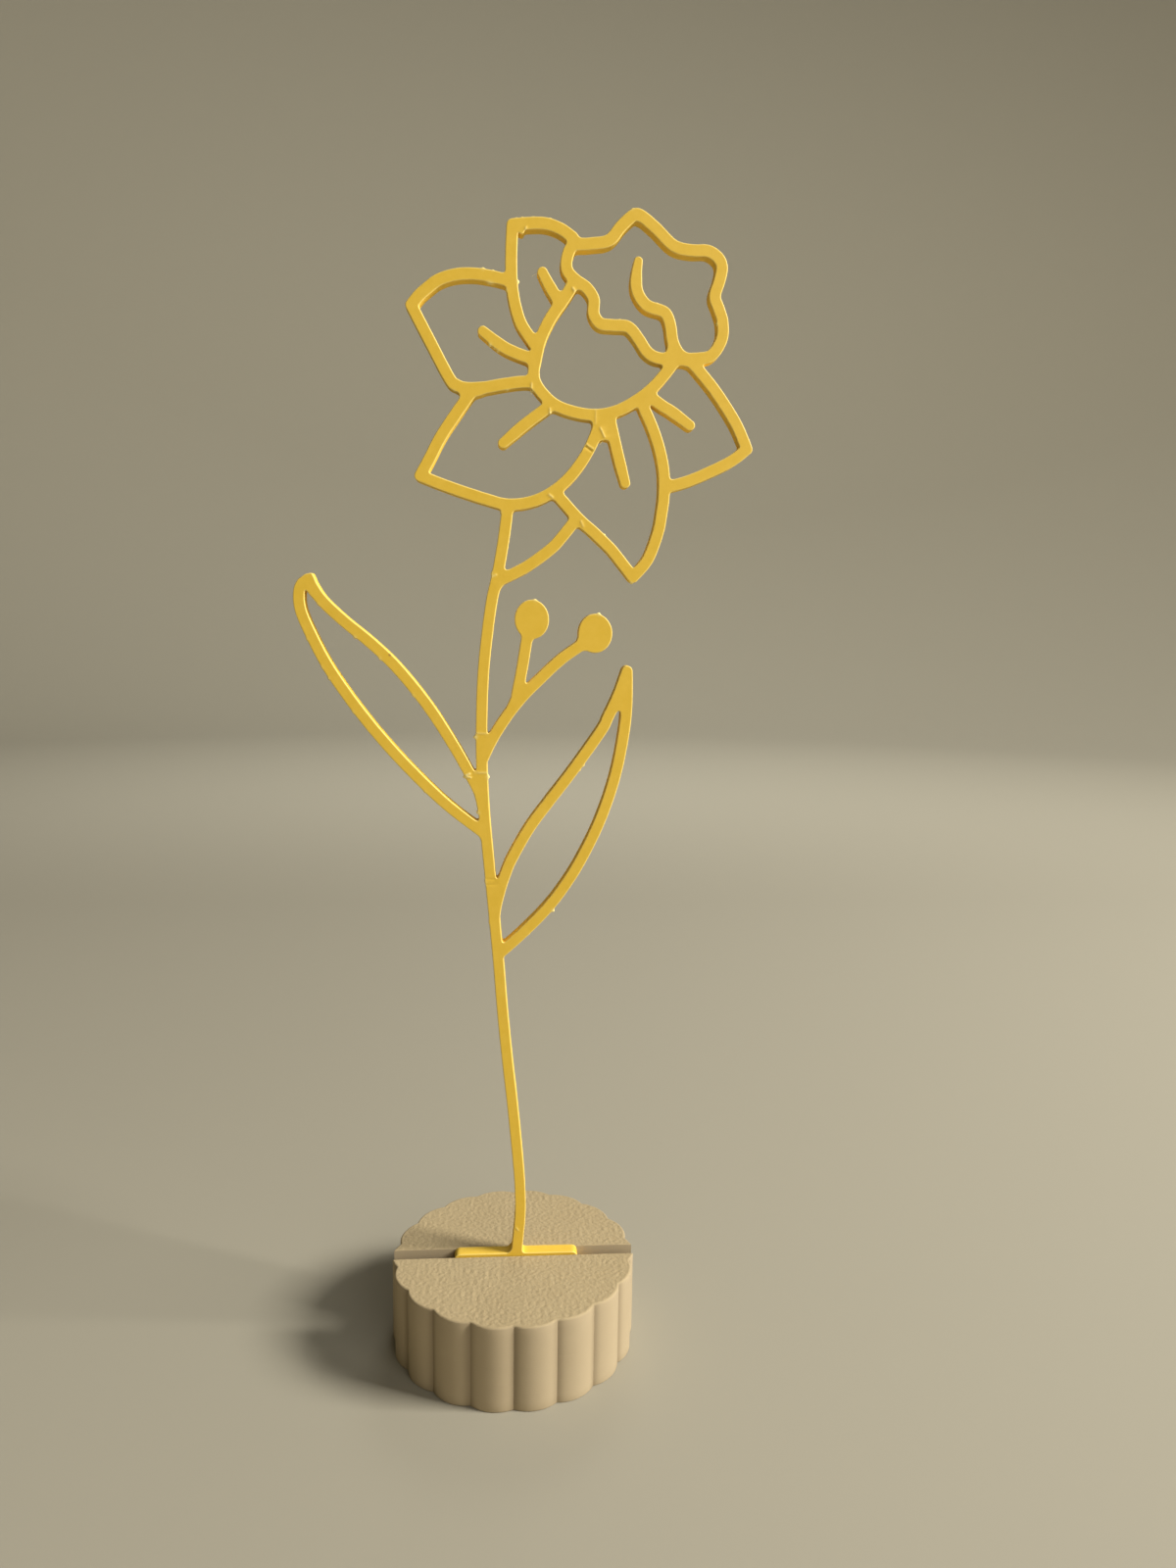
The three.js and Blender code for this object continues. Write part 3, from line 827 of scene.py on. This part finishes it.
def build_flower():
    """The printed panel: a flat face, a rounded edge and a wall on each side, and the back face."""
    plan = flower_plan()
    loops = [outline_points(loop) for loop in plan.trace(0)]
    ring = np.vstack(loops)
    out = np.vstack([outward(loop) for loop in loops])
    count = len(ring)
    starts = np.cumsum([0] + [len(loop) for loop in loops])
    loop_ids = [list(range(a, b)) for a, b in zip(starts[:-1], starts[1:])]
    rows = edge_rows(ring, out)
    faces = []
    for near in range(0, count * (len(rows) - 1), count):
        for ids in loop_ids:
            for before, current in zip([ids[-1]] + ids[:-1], ids):
                far = near + count
                faces.append((near + before, far + before, far + current, near + current))
    extra = face_points(plan)
    level = -(EDGE_RADIUS + FLAT_RIM)
    plane = np.vstack([rows[0][0][:, [0, 2]], extra])
    triangles = triangulate(plane, loop_ids, lambda p: plan.sample(plan.depth, p) < level)
    front_start = len(rows) * count
    back_start = front_start + len(extra)
    back_ring = front_start - count
    for triangle in triangles:
        faces.append([v if v < count else front_start + v - count for v in triangle])
        faces.append([back_ring + v if v < count else back_start + v - count for v in reversed(triangle)])
    x, z = extra.T
    depth = -plan.sample(plan.depth, extra)
    lift = face_relief(extra)
    half = THICKNESS / 2
    rows.append((np.column_stack([x, -half - lift, z]), depth, np.maximum(lift, 0) / PALE_RISE))
    rows.append((np.column_stack([x, np.full(len(x), half), z]), depth, np.zeros(len(x))))
    verts, depths, pale = (np.concatenate(values) for values in zip(*rows))
    piece = make_object("flower_panel", verts, faces, sharp_angle=60)
    add_attribute(piece, "edge_depth", depths)
    # Paleness of nibs and ridges: paler plastic with a painted highlight.
    add_attribute(piece, "pale", np.clip(pale, 0, 1))
    return piece


def ring_faces(start, rows, sides):
    """Quads between neighbouring rings of points, which follow each other from a start number."""
    faces = []
    for row in range(start, start + rows * sides, sides):
        for k in range(sides):
            a = row + k
            b = row + (k + 1) % sides
            faces.append((a, b, b + sides, a + sides))
    return faces


def build_hairs():
    """Fine loose hairs of plastic, each a tapered and slightly bent thread sunk into the edge."""
    verts = []
    faces = []
    for number, (x, z, dx, dz, thickness) in enumerate(HAIRS):
        root = Vector((x, HAIR_Y, z))
        way = Vector((dx, HAIR_LEAN, dz))
        aside = way.cross(Vector((0, 1, 0))).normalized()
        up = way.cross(aside).normalized()
        start = len(verts)
        for step in range(HAIR_STEPS + 1):
            t = step / HAIR_STEPS
            bend = HAIR_BEND * way.length * t * t * (1 if number % 2 else -1)
            centre = root + way * (t - HAIR_SUNK) + aside * bend
            radius = thickness / 2 * (1 - HAIR_TAPER * t)
            for k in range(HAIR_SIDES):
                angle = 2 * math.pi * k / HAIR_SIDES
                verts.append(centre + (aside * math.cos(angle) + up * math.sin(angle)) * radius)
        faces += ring_faces(start, HAIR_STEPS, HAIR_SIDES)
        faces.append([start + k for k in reversed(range(HAIR_SIDES))])
        faces.append([start + HAIR_STEPS * HAIR_SIDES + k for k in range(HAIR_SIDES)])
    piece = make_object("print_hairs", [tuple(v) for v in verts], faces, sharp_angle=50)
    add_attribute(piece, "edge_depth", np.zeros(len(verts)))
    # The hairs are pale all over: paler plastic with a painted highlight.
    add_attribute(piece, "pale", np.ones(len(verts)))
    return piece


def scallop_arc():
    """The radius of a scallop's arc, the distance of the arc's centre, and half the angle it spans."""
    half_pitch = math.pi / SCALLOPS
    half_chord = NOTCH_RADIUS * math.sin(half_pitch)
    rise = CREST_RADIUS - NOTCH_RADIUS * math.cos(half_pitch)
    radius = (half_chord**2 + rise**2) / (2 * rise)
    return radius, CREST_RADIUS - radius, math.asin(half_chord / radius)


def stand_outline():
    """The outline's points as (place, outward direction, kind), where kind is rim, edge or mouth."""
    radius, offset, half_arc = scallop_arc()
    mouth = math.asin(SLOT_WIDTH / 2 / radius)
    outline = []
    for scallop in range(SCALLOPS):
        middle = 2 * math.pi * scallop / SCALLOPS
        turn = np.array([[math.cos(middle), -math.sin(middle)], [math.sin(middle), math.cos(middle)]])
        slotted = scallop % (SCALLOPS // 2) == 0
        angles = list(np.linspace(-half_arc, half_arc, SCALLOP_POINTS)[:-1])
        if slotted:
            angles = list(np.linspace(-half_arc, -mouth, BESIDE_MOUTH_POINTS)[:-1])
            angles += list(np.linspace(-mouth, mouth, MOUTH_POINTS))
            angles += list(np.linspace(mouth, half_arc, BESIDE_MOUTH_POINTS)[1:-1])
        for k, angle in enumerate(angles):
            place = turn @ (offset + radius * math.cos(angle), radius * math.sin(angle))
            out = turn @ (math.cos(angle), math.sin(angle))
            if k == 0:
                out = place / np.linalg.norm(place)
            kind = "rim"
            if slotted and abs(abs(angle) - mouth) < 1e-6:
                kind = "edge"
            elif slotted and abs(angle) < mouth:
                kind = "mouth"
            outline.append((place, out, kind))
    return outline


def rim_distance(points):
    """How far points lie inside the scalloped outline, measured towards the middle."""
    radius, offset, _ = scallop_arc()
    pitch = 2 * math.pi / SCALLOPS
    angle = np.arctan2(points[:, 1], points[:, 0])
    aside = angle - np.round(angle / pitch) * pitch
    reach = offset * np.cos(aside) + np.sqrt(radius**2 - (offset * np.sin(aside)) ** 2)
    return reach - np.hypot(points[:, 0], points[:, 1])


def grain(points):
    """The height of the pebbled grain that the print bed left on the stand's top."""
    heights = []
    for x, y in points:
        place = Vector((x, y, 0)) / GRAIN_SIZE
        nearest, second = noise.voronoi(place)[0][:2]
        dome = min(1, second - nearest) - 0.5 * nearest
        drift = noise.noise(place * GRAIN_DRIFT_RATE + Vector((0, 9, 5)))
        heights.append(GRAIN_HEIGHT * (GRAIN_DOME * dome + GRAIN_DRIFT * drift - GRAIN_SINK))
    return np.array(heights)


def top_points(side):
    """Even points over one half of the stand's top, clear of its edges."""
    row_step = GRAIN_STEP * math.sqrt(0.75)
    rows = np.arange(math.ceil(CREST_RADIUS / row_step))
    columns = np.arange(-1, 2 * CREST_RADIUS / GRAIN_STEP + 1)
    x = columns[None] * GRAIN_STEP - CREST_RADIUS + 0.5 * GRAIN_STEP * (rows[:, None] % 2)
    y = side * row_step * rows[:, None] + 0 * x
    points = np.column_stack([x.ravel(), y.ravel()])
    clear_rim = rim_distance(points) > RIM_RADIUS + EDGE_CLEARANCE
    near_mouth = np.abs(points[:, 0]) > CREST_RADIUS - MOUTH_END
    edge_radius = np.where(near_mouth, MOUTH_RADIUS, SLOT_EDGE_RADIUS)
    clear_slot = side * points[:, 1] - SLOT_WIDTH / 2 > edge_radius + EDGE_CLEARANCE
    return points[clear_rim & clear_slot]


class Block:
    """A mesh of the stand while it is being put together."""

    def __init__(self):
        self.verts = []
        self.faces = []

    def add(self, place, z):
        self.verts.append((place[0], place[1], z))
        return len(self.verts) - 1

    def join_columns(self, columns):
        """Quads between neighbouring columns of a closed ring."""
        for before, after in zip([columns[-1]] + columns[:-1], columns):
            for row in range(len(before) - 1):
                self.faces.append((before[row], after[row], after[row + 1], before[row + 1]))

    def cap(self, ring, inner=(), up=True):
        """Flat triangles inside a ring of points, over the inner points too."""
        ids = list(ring) + list(inner)
        points = np.array([self.verts[v][:2] for v in ids])
        loop = list(range(len(ring)))
        for face in triangulate(points, [loop], inside_loop(points[: len(ring)])):
            corners = [ids[v] for v in face]
            self.faces.append(corners if up else corners[::-1])


def inside_loop(loop):
    """A test of whether points lie inside a closed outline."""
    def test(points):
        inside = np.zeros(len(points), bool)
        for a, b in zip(np.roll(loop, 1, axis=0), loop):
            if a[1] == b[1]:
                continue
            between = (points[:, 1] < a[1]) != (points[:, 1] < b[1])
            cross = a[0] + (points[:, 1] - a[1]) * (b[0] - a[0]) / (b[1] - a[1])
            inside ^= between & (points[:, 0] < cross)
        return inside
    return test


def build_lower_block(block, outline):
    """The block from its rounded foot up to the slot's floor. Gives the ring of points at the floor."""
    columns = []
    for place, out, _ in outline:
        column = []
        for step in range(BOTTOM_STEPS + 1):
            angle = math.pi / 2 * step / BOTTOM_STEPS
            inset = BOTTOM_RADIUS * (1 - math.sin(angle))
            column.append(block.add(place - out * inset, BOTTOM_RADIUS * (1 - math.cos(angle))))
        for z in np.linspace(BOTTOM_RADIUS, SLOT_FLOOR, BLOCK_ROWS)[1:]:
            column.append(block.add(place, z))
        columns.append(column)
    block.join_columns(columns)
    block.cap([column[0] for column in columns], up=False)
    return [column[-1] for column in columns]


def build_half(block, ring, side):
    """One half of the block above the slot's floor, from a ring of (place, inward, base, radius)."""
    columns = []
    for place, inward, base, radius in ring:
        column = [base]
        top = STAND_HEIGHT - radius
        for z in np.linspace(SLOT_FLOOR, top, HALF_ROWS)[1:]:
            column.append(block.add(place, z))
        for step in range(1, RIM_STEPS + 1):
            angle = math.pi / 2 * step / RIM_STEPS
            inset = radius * (1 - math.cos(angle))
            spot = place + inward * inset
            rough = grain([spot])[0] * EDGE_GRAIN * step / RIM_STEPS
            column.append(block.add(spot, top + radius * math.sin(angle) + rough))
        columns.append(column)
    block.join_columns(columns)
    inner = top_points(side)
    edge = np.minimum(rim_distance(inner) - RIM_RADIUS, side * inner[:, 1] - SLOT_WIDTH / 2)
    heights = STAND_HEIGHT + grain(inner) * np.clip(EDGE_GRAIN + edge / GRAIN_FADE, 0, 1)
    inner_ids = [block.add(place, z) for place, z in zip(inner, heights)]
    block.cap([column[-1] for column in columns], inner_ids)


def slot_columns(side, reach):
    """Points along one wall of the slot as (place, inward direction, edge radius)."""
    wall = []
    for x in np.linspace(-1, 1, SLOT_COLUMNS)[1:-1]:
        place = np.array((side * x * reach, side * SLOT_WIDTH / 2))
        from_end = (1 - abs(x)) * reach
        radius = MOUTH_RADIUS + (SLOT_EDGE_RADIUS - MOUTH_RADIUS) * min(1, from_end / MOUTH_REACH)
        corner = max(0, 1 - from_end / CORNER_REACH)
        inward = np.array((-np.sign(place[0]) * corner, side)) * (1 - CORNER_EASE * corner)
        wall.append((place, inward, radius))
    return wall


def rim_columns(outline, first, steps, side):
    """Points along half of the rim as (place, inward direction, edge radius, number in the outline)."""
    ring = []
    for step in range(steps + 1):
        number = (first + step) % len(outline)
        place, out, _ = outline[number]
        from_end = min(step, steps - step)
        radius = MOUTH_RADIUS + (RIM_RADIUS - MOUTH_RADIUS) * min(1, from_end / MOUTH_STEPS)
        corner = max(0, 1 - from_end / CORNER_STEPS)
        inward = (-out + (0, side * corner)) * (1 - CORNER_EASE * corner)
        ring.append((place, inward, radius, number))
    return ring


def build_stand():
    """The scalloped block with a slot right across its top, as one closed mesh."""
    outline = stand_outline()
    count = len(outline)
    block = Block()
    shoulder = build_lower_block(block, outline)
    edges = {}
    for number, (place, _, kind) in enumerate(outline):
        if kind == "edge":
            edges[(place[0] > 0, place[1] > 0)] = number
    floor = []
    for side in (1, -1):
        north = side > 0
        first = edges[(north, north)]
        last = edges[(not north, north)]
        ring = []
        for place, inward, radius, number in rim_columns(outline, first, (last - first) % count, side):
            ring.append((place, inward, shoulder[number], radius))
        wall = []
        for place, inward, radius in slot_columns(side, abs(outline[first][0][0])):
            wall.append((place, inward, block.add(place, SLOT_FLOOR), radius))
        build_half(block, ring + wall, side)
        mouth_end = edges[(not north, not north)]
        mouth = [shoulder[(last + step) % count] for step in range((mouth_end - last) % count)]
        floor += [base for _, _, base, _ in reversed(wall)] + mouth
    block.cap(floor)
    piece = make_object("stand_block", block.verts, block.faces, sharp_angle=35)
    # The mask for the painted shade in the grooves between scallops.
    add_attribute(piece, "groove_shade_mask", painted_groove_shade(np.array(block.verts)))
    return piece


def painted_groove_shade(verts):
    """How deep in a groove between two scallops each point of the wall lies, from 0 to 1: the mask for
    the painted shade there.
    """
    pitch = 2 * math.pi / SCALLOPS
    angle = np.arctan2(verts[:, 1], verts[:, 0]) / pitch - 0.5
    aside = (angle - np.round(angle)) * pitch * NOTCH_RADIUS
    near_wall = np.clip(1 - rim_distance(verts) / GROOVE_SHADE_DEPTH, 0, 1)
    return near_wall * np.exp(-(aside / GROOVE_SHADE_REACH) ** 2)


def node(tree, kind, **values):
    made = tree.nodes.new(kind)
    for name, value in values.items():
        setattr(made, name, value)
    return made


def math_node(tree, operation, a, b=None, c=None, clamp=False):
    made = node(tree, "ShaderNodeMath", operation=operation, use_clamp=clamp)
    for socket, value in zip(made.inputs, (a, b, c)):
        if isinstance(value, bpy.types.NodeSocket):
            tree.links.new(value, socket)
        elif value is not None:
            socket.default_value = value
    return made.outputs[0]


def noise_node(tree, vector, texture):
    made = node(tree, "ShaderNodeTexNoise")
    for name, value in zip(("Scale", "Detail", "Roughness"), texture):
        made.inputs[name].default_value = value
    tree.links.new(vector, made.inputs["Vector"])
    return made.outputs["Fac"]


def mix_colour(tree, share, a, b, blend="MIX"):
    made = node(tree, "ShaderNodeMix", data_type="RGBA", blend_type=blend)
    for index, value in ((0, share), (6, a), (7, b)):
        if isinstance(value, bpy.types.NodeSocket):
            tree.links.new(value, made.inputs[index])
        else:
            made.inputs[index].default_value = value
    return made.outputs[2]


def bump(tree, height, distance, normal=None):
    made = node(tree, "ShaderNodeBump")
    made.inputs["Strength"].default_value = 1.0
    made.inputs["Distance"].default_value = distance * MM
    tree.links.new(height, made.inputs["Height"])
    if normal is not None:
        tree.links.new(normal, made.inputs["Normal"])
    return made.outputs["Normal"]


def attribute(tree, name):
    return node(tree, "ShaderNodeAttribute", attribute_name=name).outputs["Fac"]


def object_place(tree):
    """The place in the piece's own frame, whole and in its three parts."""
    place = node(tree, "ShaderNodeTexCoord").outputs["Object"]
    split = node(tree, "ShaderNodeSeparateXYZ")
    tree.links.new(place, split.inputs[0])
    return place, split.outputs


def facing_shares(tree, axis):
    """How squarely the surface faces along an axis, and how squarely across it, from 0 to 1."""
    shape = node(tree, "ShaderNodeNewGeometry")
    split = node(tree, "ShaderNodeSeparateXYZ")
    tree.links.new(shape.outputs["Normal"], split.inputs[0])
    flat = math_node(tree, "ABSOLUTE", split.outputs[axis])
    return flat, math_node(tree, "SUBTRACT", 1.0, flat, clamp=True)


def layer_wave(tree, along):
    """A wave that repeats with each printed layer."""
    turn = math_node(tree, "MULTIPLY", along, 2 * math.pi / (LAYER * MM))
    return math_node(tree, "SINE", turn)


def plastic(name, roughness, shine):
    material = bpy.data.materials.new(name)
    material.use_nodes = True
    tree = material.node_tree
    shader = tree.nodes["Principled BSDF"]
    shader.inputs["Roughness"].default_value = roughness
    shader.inputs["IOR"].default_value = PLASTIC_IOR
    shader.inputs["Specular IOR Level"].default_value = shine
    return material, tree, shader


def yellow_colour(tree, place, flat):
    """Small uneven patches, a paler rim on the faces as a painted highlight, pale print marks that are
    partly a painted highlight, and one burnt speck.
    """
    colour = mix_colour(tree, noise_node(tree, place, YELLOW_PATCHES), YELLOW_DEEP, YELLOW_LIGHT)
    # A painted highlight as a paler rim on the faces along their edges.
    near_edge = math_node(tree, "DIVIDE", attribute(tree, "edge_depth"), HIGHLIGHT_RIM_WIDTH)
    near_edge = math_node(tree, "SUBTRACT", 1.0, near_edge, clamp=True)
    rim = math_node(tree, "MULTIPLY", near_edge, math_node(tree, "MULTIPLY", flat, 2.0, clamp=True))
    rim = math_node(tree, "MULTIPLY", rim, HIGHLIGHT_RIM_STRENGTH)
    colour = mix_colour(tree, rim, colour, YELLOW_RIM_HIGHLIGHT)
    # Pale marks on nibs, ridges and hairs: paler plastic with a painted highlight.
    marks = math_node(tree, "MULTIPLY", attribute(tree, "pale"), MARK_HIGHLIGHT_STRENGTH)
    colour = mix_colour(tree, marks, colour, YELLOW_PALE_HIGHLIGHT)
    far = node(tree, "ShaderNodeVectorMath", operation="DISTANCE")
    tree.links.new(place, far.inputs[0])
    far.inputs[1].default_value = [v * MM for v in SPECK]
    speck = math_node(tree, "DIVIDE", far.outputs["Value"], SPECK_RADIUS * MM)
    speck = math_node(tree, "SUBTRACT", SPECK_EDGE, speck, clamp=True)
    speck = math_node(tree, "MULTIPLY", speck, SPECK_STRENGTH)
    return mix_colour(tree, speck, colour, SPECK_COLOUR)


def yellow_plastic():
    """Satin yellow, duller on the walls, where thin layers show."""
    material, tree, shader = plastic("yellow_plastic", YELLOW_ROUGHNESS, YELLOW_SHINE)
    place, along = object_place(tree)
    flat, wall = facing_shares(tree, "Y")
    dull = math_node(tree, "MULTIPLY_ADD", wall, WALL_DULLNESS, YELLOW_ROUGHNESS)
    tree.links.new(dull, shader.inputs["Roughness"])
    layer = math_node(tree, "MULTIPLY", layer_wave(tree, along["Y"]), wall)
    uneven = math_node(tree, "ADD", noise_node(tree, place, YELLOW_UNEVEN), LEAST_UNEVEN)
    layer = math_node(tree, "MULTIPLY", layer, uneven)
    normal = bump(tree, noise_node(tree, place, YELLOW_FINE), YELLOW_FINE_BUMP)
    normal = bump(tree, layer, YELLOW_LAYER_BUMP, normal)
    tree.links.new(normal, shader.inputs["Normal"])
    tree.links.new(yellow_colour(tree, place, flat), shader.inputs["Base Color"])
    return material


def beige_layers(tree, place, height, wall):
    """Layers on the wall, each a little out of line with the next, and rougher at the slot's floor."""
    squash = node(tree, "ShaderNodeVectorMath", operation="MULTIPLY")
    squash.inputs[1].default_value = STREAK_SQUASH
    tree.links.new(place, squash.inputs[0])
    streak = noise_node(tree, squash.outputs[0], BEIGE_STREAKS)
    layers = math_node(tree, "MULTIPLY_ADD", layer_wave(tree, height), WAVE_SHARE, streak)
    off_band = math_node(tree, "SUBTRACT", height, BAND_HEIGHT * MM)
    off_band = math_node(tree, "DIVIDE", off_band, BAND_REACH * MM)
    fall = math_node(tree, "MULTIPLY", math_node(tree, "MULTIPLY", off_band, off_band), -1.0)
    band = math_node(tree, "POWER", math.e, fall)
    rough = math_node(tree, "MULTIPLY_ADD", band, BAND_ROUGHNESS, 1.0)
    return math_node(tree, "MULTIPLY", layers, math_node(tree, "MULTIPLY", wall, rough))


def beige_plastic():
    """Matte beige: layers on the wall, a fine grain all over, painted warm light on the top and painted
    shade in the grooves.
    """
    material, tree, shader = plastic("beige_plastic", BEIGE_ROUGHNESS, BEIGE_SHINE)
    place, along = object_place(tree)
    flat, wall = facing_shares(tree, "Z")
    layers = beige_layers(tree, place, along["Z"], wall)
    share = math_node(tree, "MULTIPLY_ADD", flat, 1 - WALL_FINE_SHARE, WALL_FINE_SHARE)
    fine = math_node(tree, "MULTIPLY", noise_node(tree, place, BEIGE_FINE), share)
    normal = bump(tree, fine, BEIGE_FINE_BUMP)
    normal = bump(tree, layers, BEIGE_LAYER_BUMP, normal)
    tree.links.new(normal, shader.inputs["Normal"])
    colour = mix_colour(tree, noise_node(tree, place, BEIGE_PATCHES), BEIGE_DEEP, BEIGE_LIGHT)
    # Painted shade darkens the grooves between scallops.
    groove_shade_mask = math_node(tree, "MULTIPLY", attribute(tree, "groove_shade_mask"), GROOVE_SHADE)
    colour = mix_colour(tree, groove_shade_mask, colour, BEIGE_GROOVE_SHADE)
    # Painted warm light tints the faces that look up.
    colour = mix_colour(tree, flat, colour, PAINTED_TOP_LIGHT_TINT, blend="MULTIPLY")
    tree.links.new(colour, shader.inputs["Base Color"])
    return material


def build_studio():
    """A plain pale floor that turns up into a wall all round, far from the part."""
    profile = [(STUDIO_REACH, 0.0)]
    for step in range(1, STUDIO_STEPS + 1):
        angle = math.pi / 2 * step / STUDIO_STEPS
        reach = STUDIO_REACH + STUDIO_BEND * math.sin(angle)
        profile.append((reach, STUDIO_BEND * (1 - math.cos(angle))))
    profile.append((STUDIO_REACH + STUDIO_BEND, STUDIO_HEIGHT))
    verts = [(0, 0, 0)]
    faces = []
    for reach, height in profile:
        for k in range(STUDIO_SIDES):
            angle = 2 * math.pi * k / STUDIO_SIDES
            verts.append((reach * math.cos(angle), reach * math.sin(angle), height))
    for k in range(STUDIO_SIDES):
        faces.append((0, 1 + k, 1 + (k + 1) % STUDIO_SIDES))
    faces += [face[::-1] for face in ring_faces(1, len(profile) - 1, STUDIO_SIDES)]
    mesh = bpy.data.meshes.new("studio_floor")
    mesh.from_pydata(verts, [], faces)
    mesh.shade_smooth()
    floor = bpy.data.objects.new("studio_floor", mesh)
    bpy.context.scene.collection.objects.link(floor)
    material = bpy.data.materials.new("pale_floor")
    material.use_nodes = True
    shader = material.node_tree.nodes["Principled BSDF"]
    shader.inputs["Base Color"].default_value = FLOOR_COLOUR
    shader.inputs["Roughness"].default_value = FLOOR_ROUGHNESS
    mesh.materials.append(material)


def area_light(name, azimuth, elevation, distance, size, power, colour):
    """A soft square light at a compass angle from +X and a height angle, turned to the part."""
    light = bpy.data.lights.new(name, "AREA")
    light.shape = "SQUARE"
    light.size = size
    light.energy = power
    light.color = colour
    lamp = bpy.data.objects.new(name, light)
    a = math.radians(azimuth)
    e = math.radians(elevation)
    way = Vector((math.cos(a) * math.cos(e), math.sin(a) * math.cos(e), math.sin(e)))
    lamp.location = Vector((0, 0, AIM_HEIGHT)) + way * distance
    lamp.rotation_mode = "QUATERNION"
    lamp.rotation_quaternion = way.to_track_quat("Z", "Y")
    lamp.visible_camera = False
    bpy.context.scene.collection.objects.link(lamp)
    return lamp


def build_lights():
    """The lights, of which the last is turned away from the part to the wall behind it."""
    lamps = [area_light(*light) for light in LIGHTS]
    lamps[-1].rotation_quaternion = Vector(BACKDROP_BACK).to_track_quat("Z", "Y")
    world = bpy.data.worlds.new("soft_room")
    world.use_nodes = True
    back = world.node_tree.nodes["Background"]
    back.inputs["Color"].default_value = WORLD_COLOUR
    back.inputs["Strength"].default_value = WORLD_STRENGTH
    bpy.context.scene.world = world
    bpy.context.scene.view_settings.view_transform = "Standard"


def build_camera():
    """The camera where the photograph was taken from."""
    data = bpy.data.cameras.new("camera")
    data.sensor_fit = "AUTO"
    data.sensor_width = SENSOR
    data.lens = FOCAL_PIXELS / PHOTO_HEIGHT * SENSOR
    data.clip_start = 0.005
    data.clip_end = 20
    camera = bpy.data.objects.new("camera", data)
    pitch, roll, yaw = (math.radians(v) for v in (CAMERA_PITCH, CAMERA_ROLL, CAMERA_YAW))
    ahead = Vector((math.sin(yaw) * math.cos(pitch), math.cos(yaw) * math.cos(pitch), -math.sin(pitch)))
    level = Vector((math.cos(yaw), -math.sin(yaw), 0))
    down = ahead.cross(level)
    right = level * math.cos(roll) + down * math.sin(roll)
    up = level * math.sin(roll) - down * math.cos(roll)
    turn = Matrix((right, up, -ahead)).transposed()
    camera.matrix_world = Matrix.Translation(Vector(CAMERA_PLACE) * MM) @ turn.to_4x4()
    bpy.context.scene.collection.objects.link(camera)
    bpy.context.scene.camera = camera


build_studio()
build_lights()
build_camera()

yellow = yellow_plastic()
beige = beige_plastic()

flower = build_flower()
flower.data.materials.append(yellow)
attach(flower, "root")
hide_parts("daffodil_outline")

hairs = build_hairs()
hairs.data.materials.append(yellow)
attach(hairs, "root")

stand = build_stand()
stand.data.materials.append(beige)
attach(stand, "root")
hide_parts("scalloped_stand")
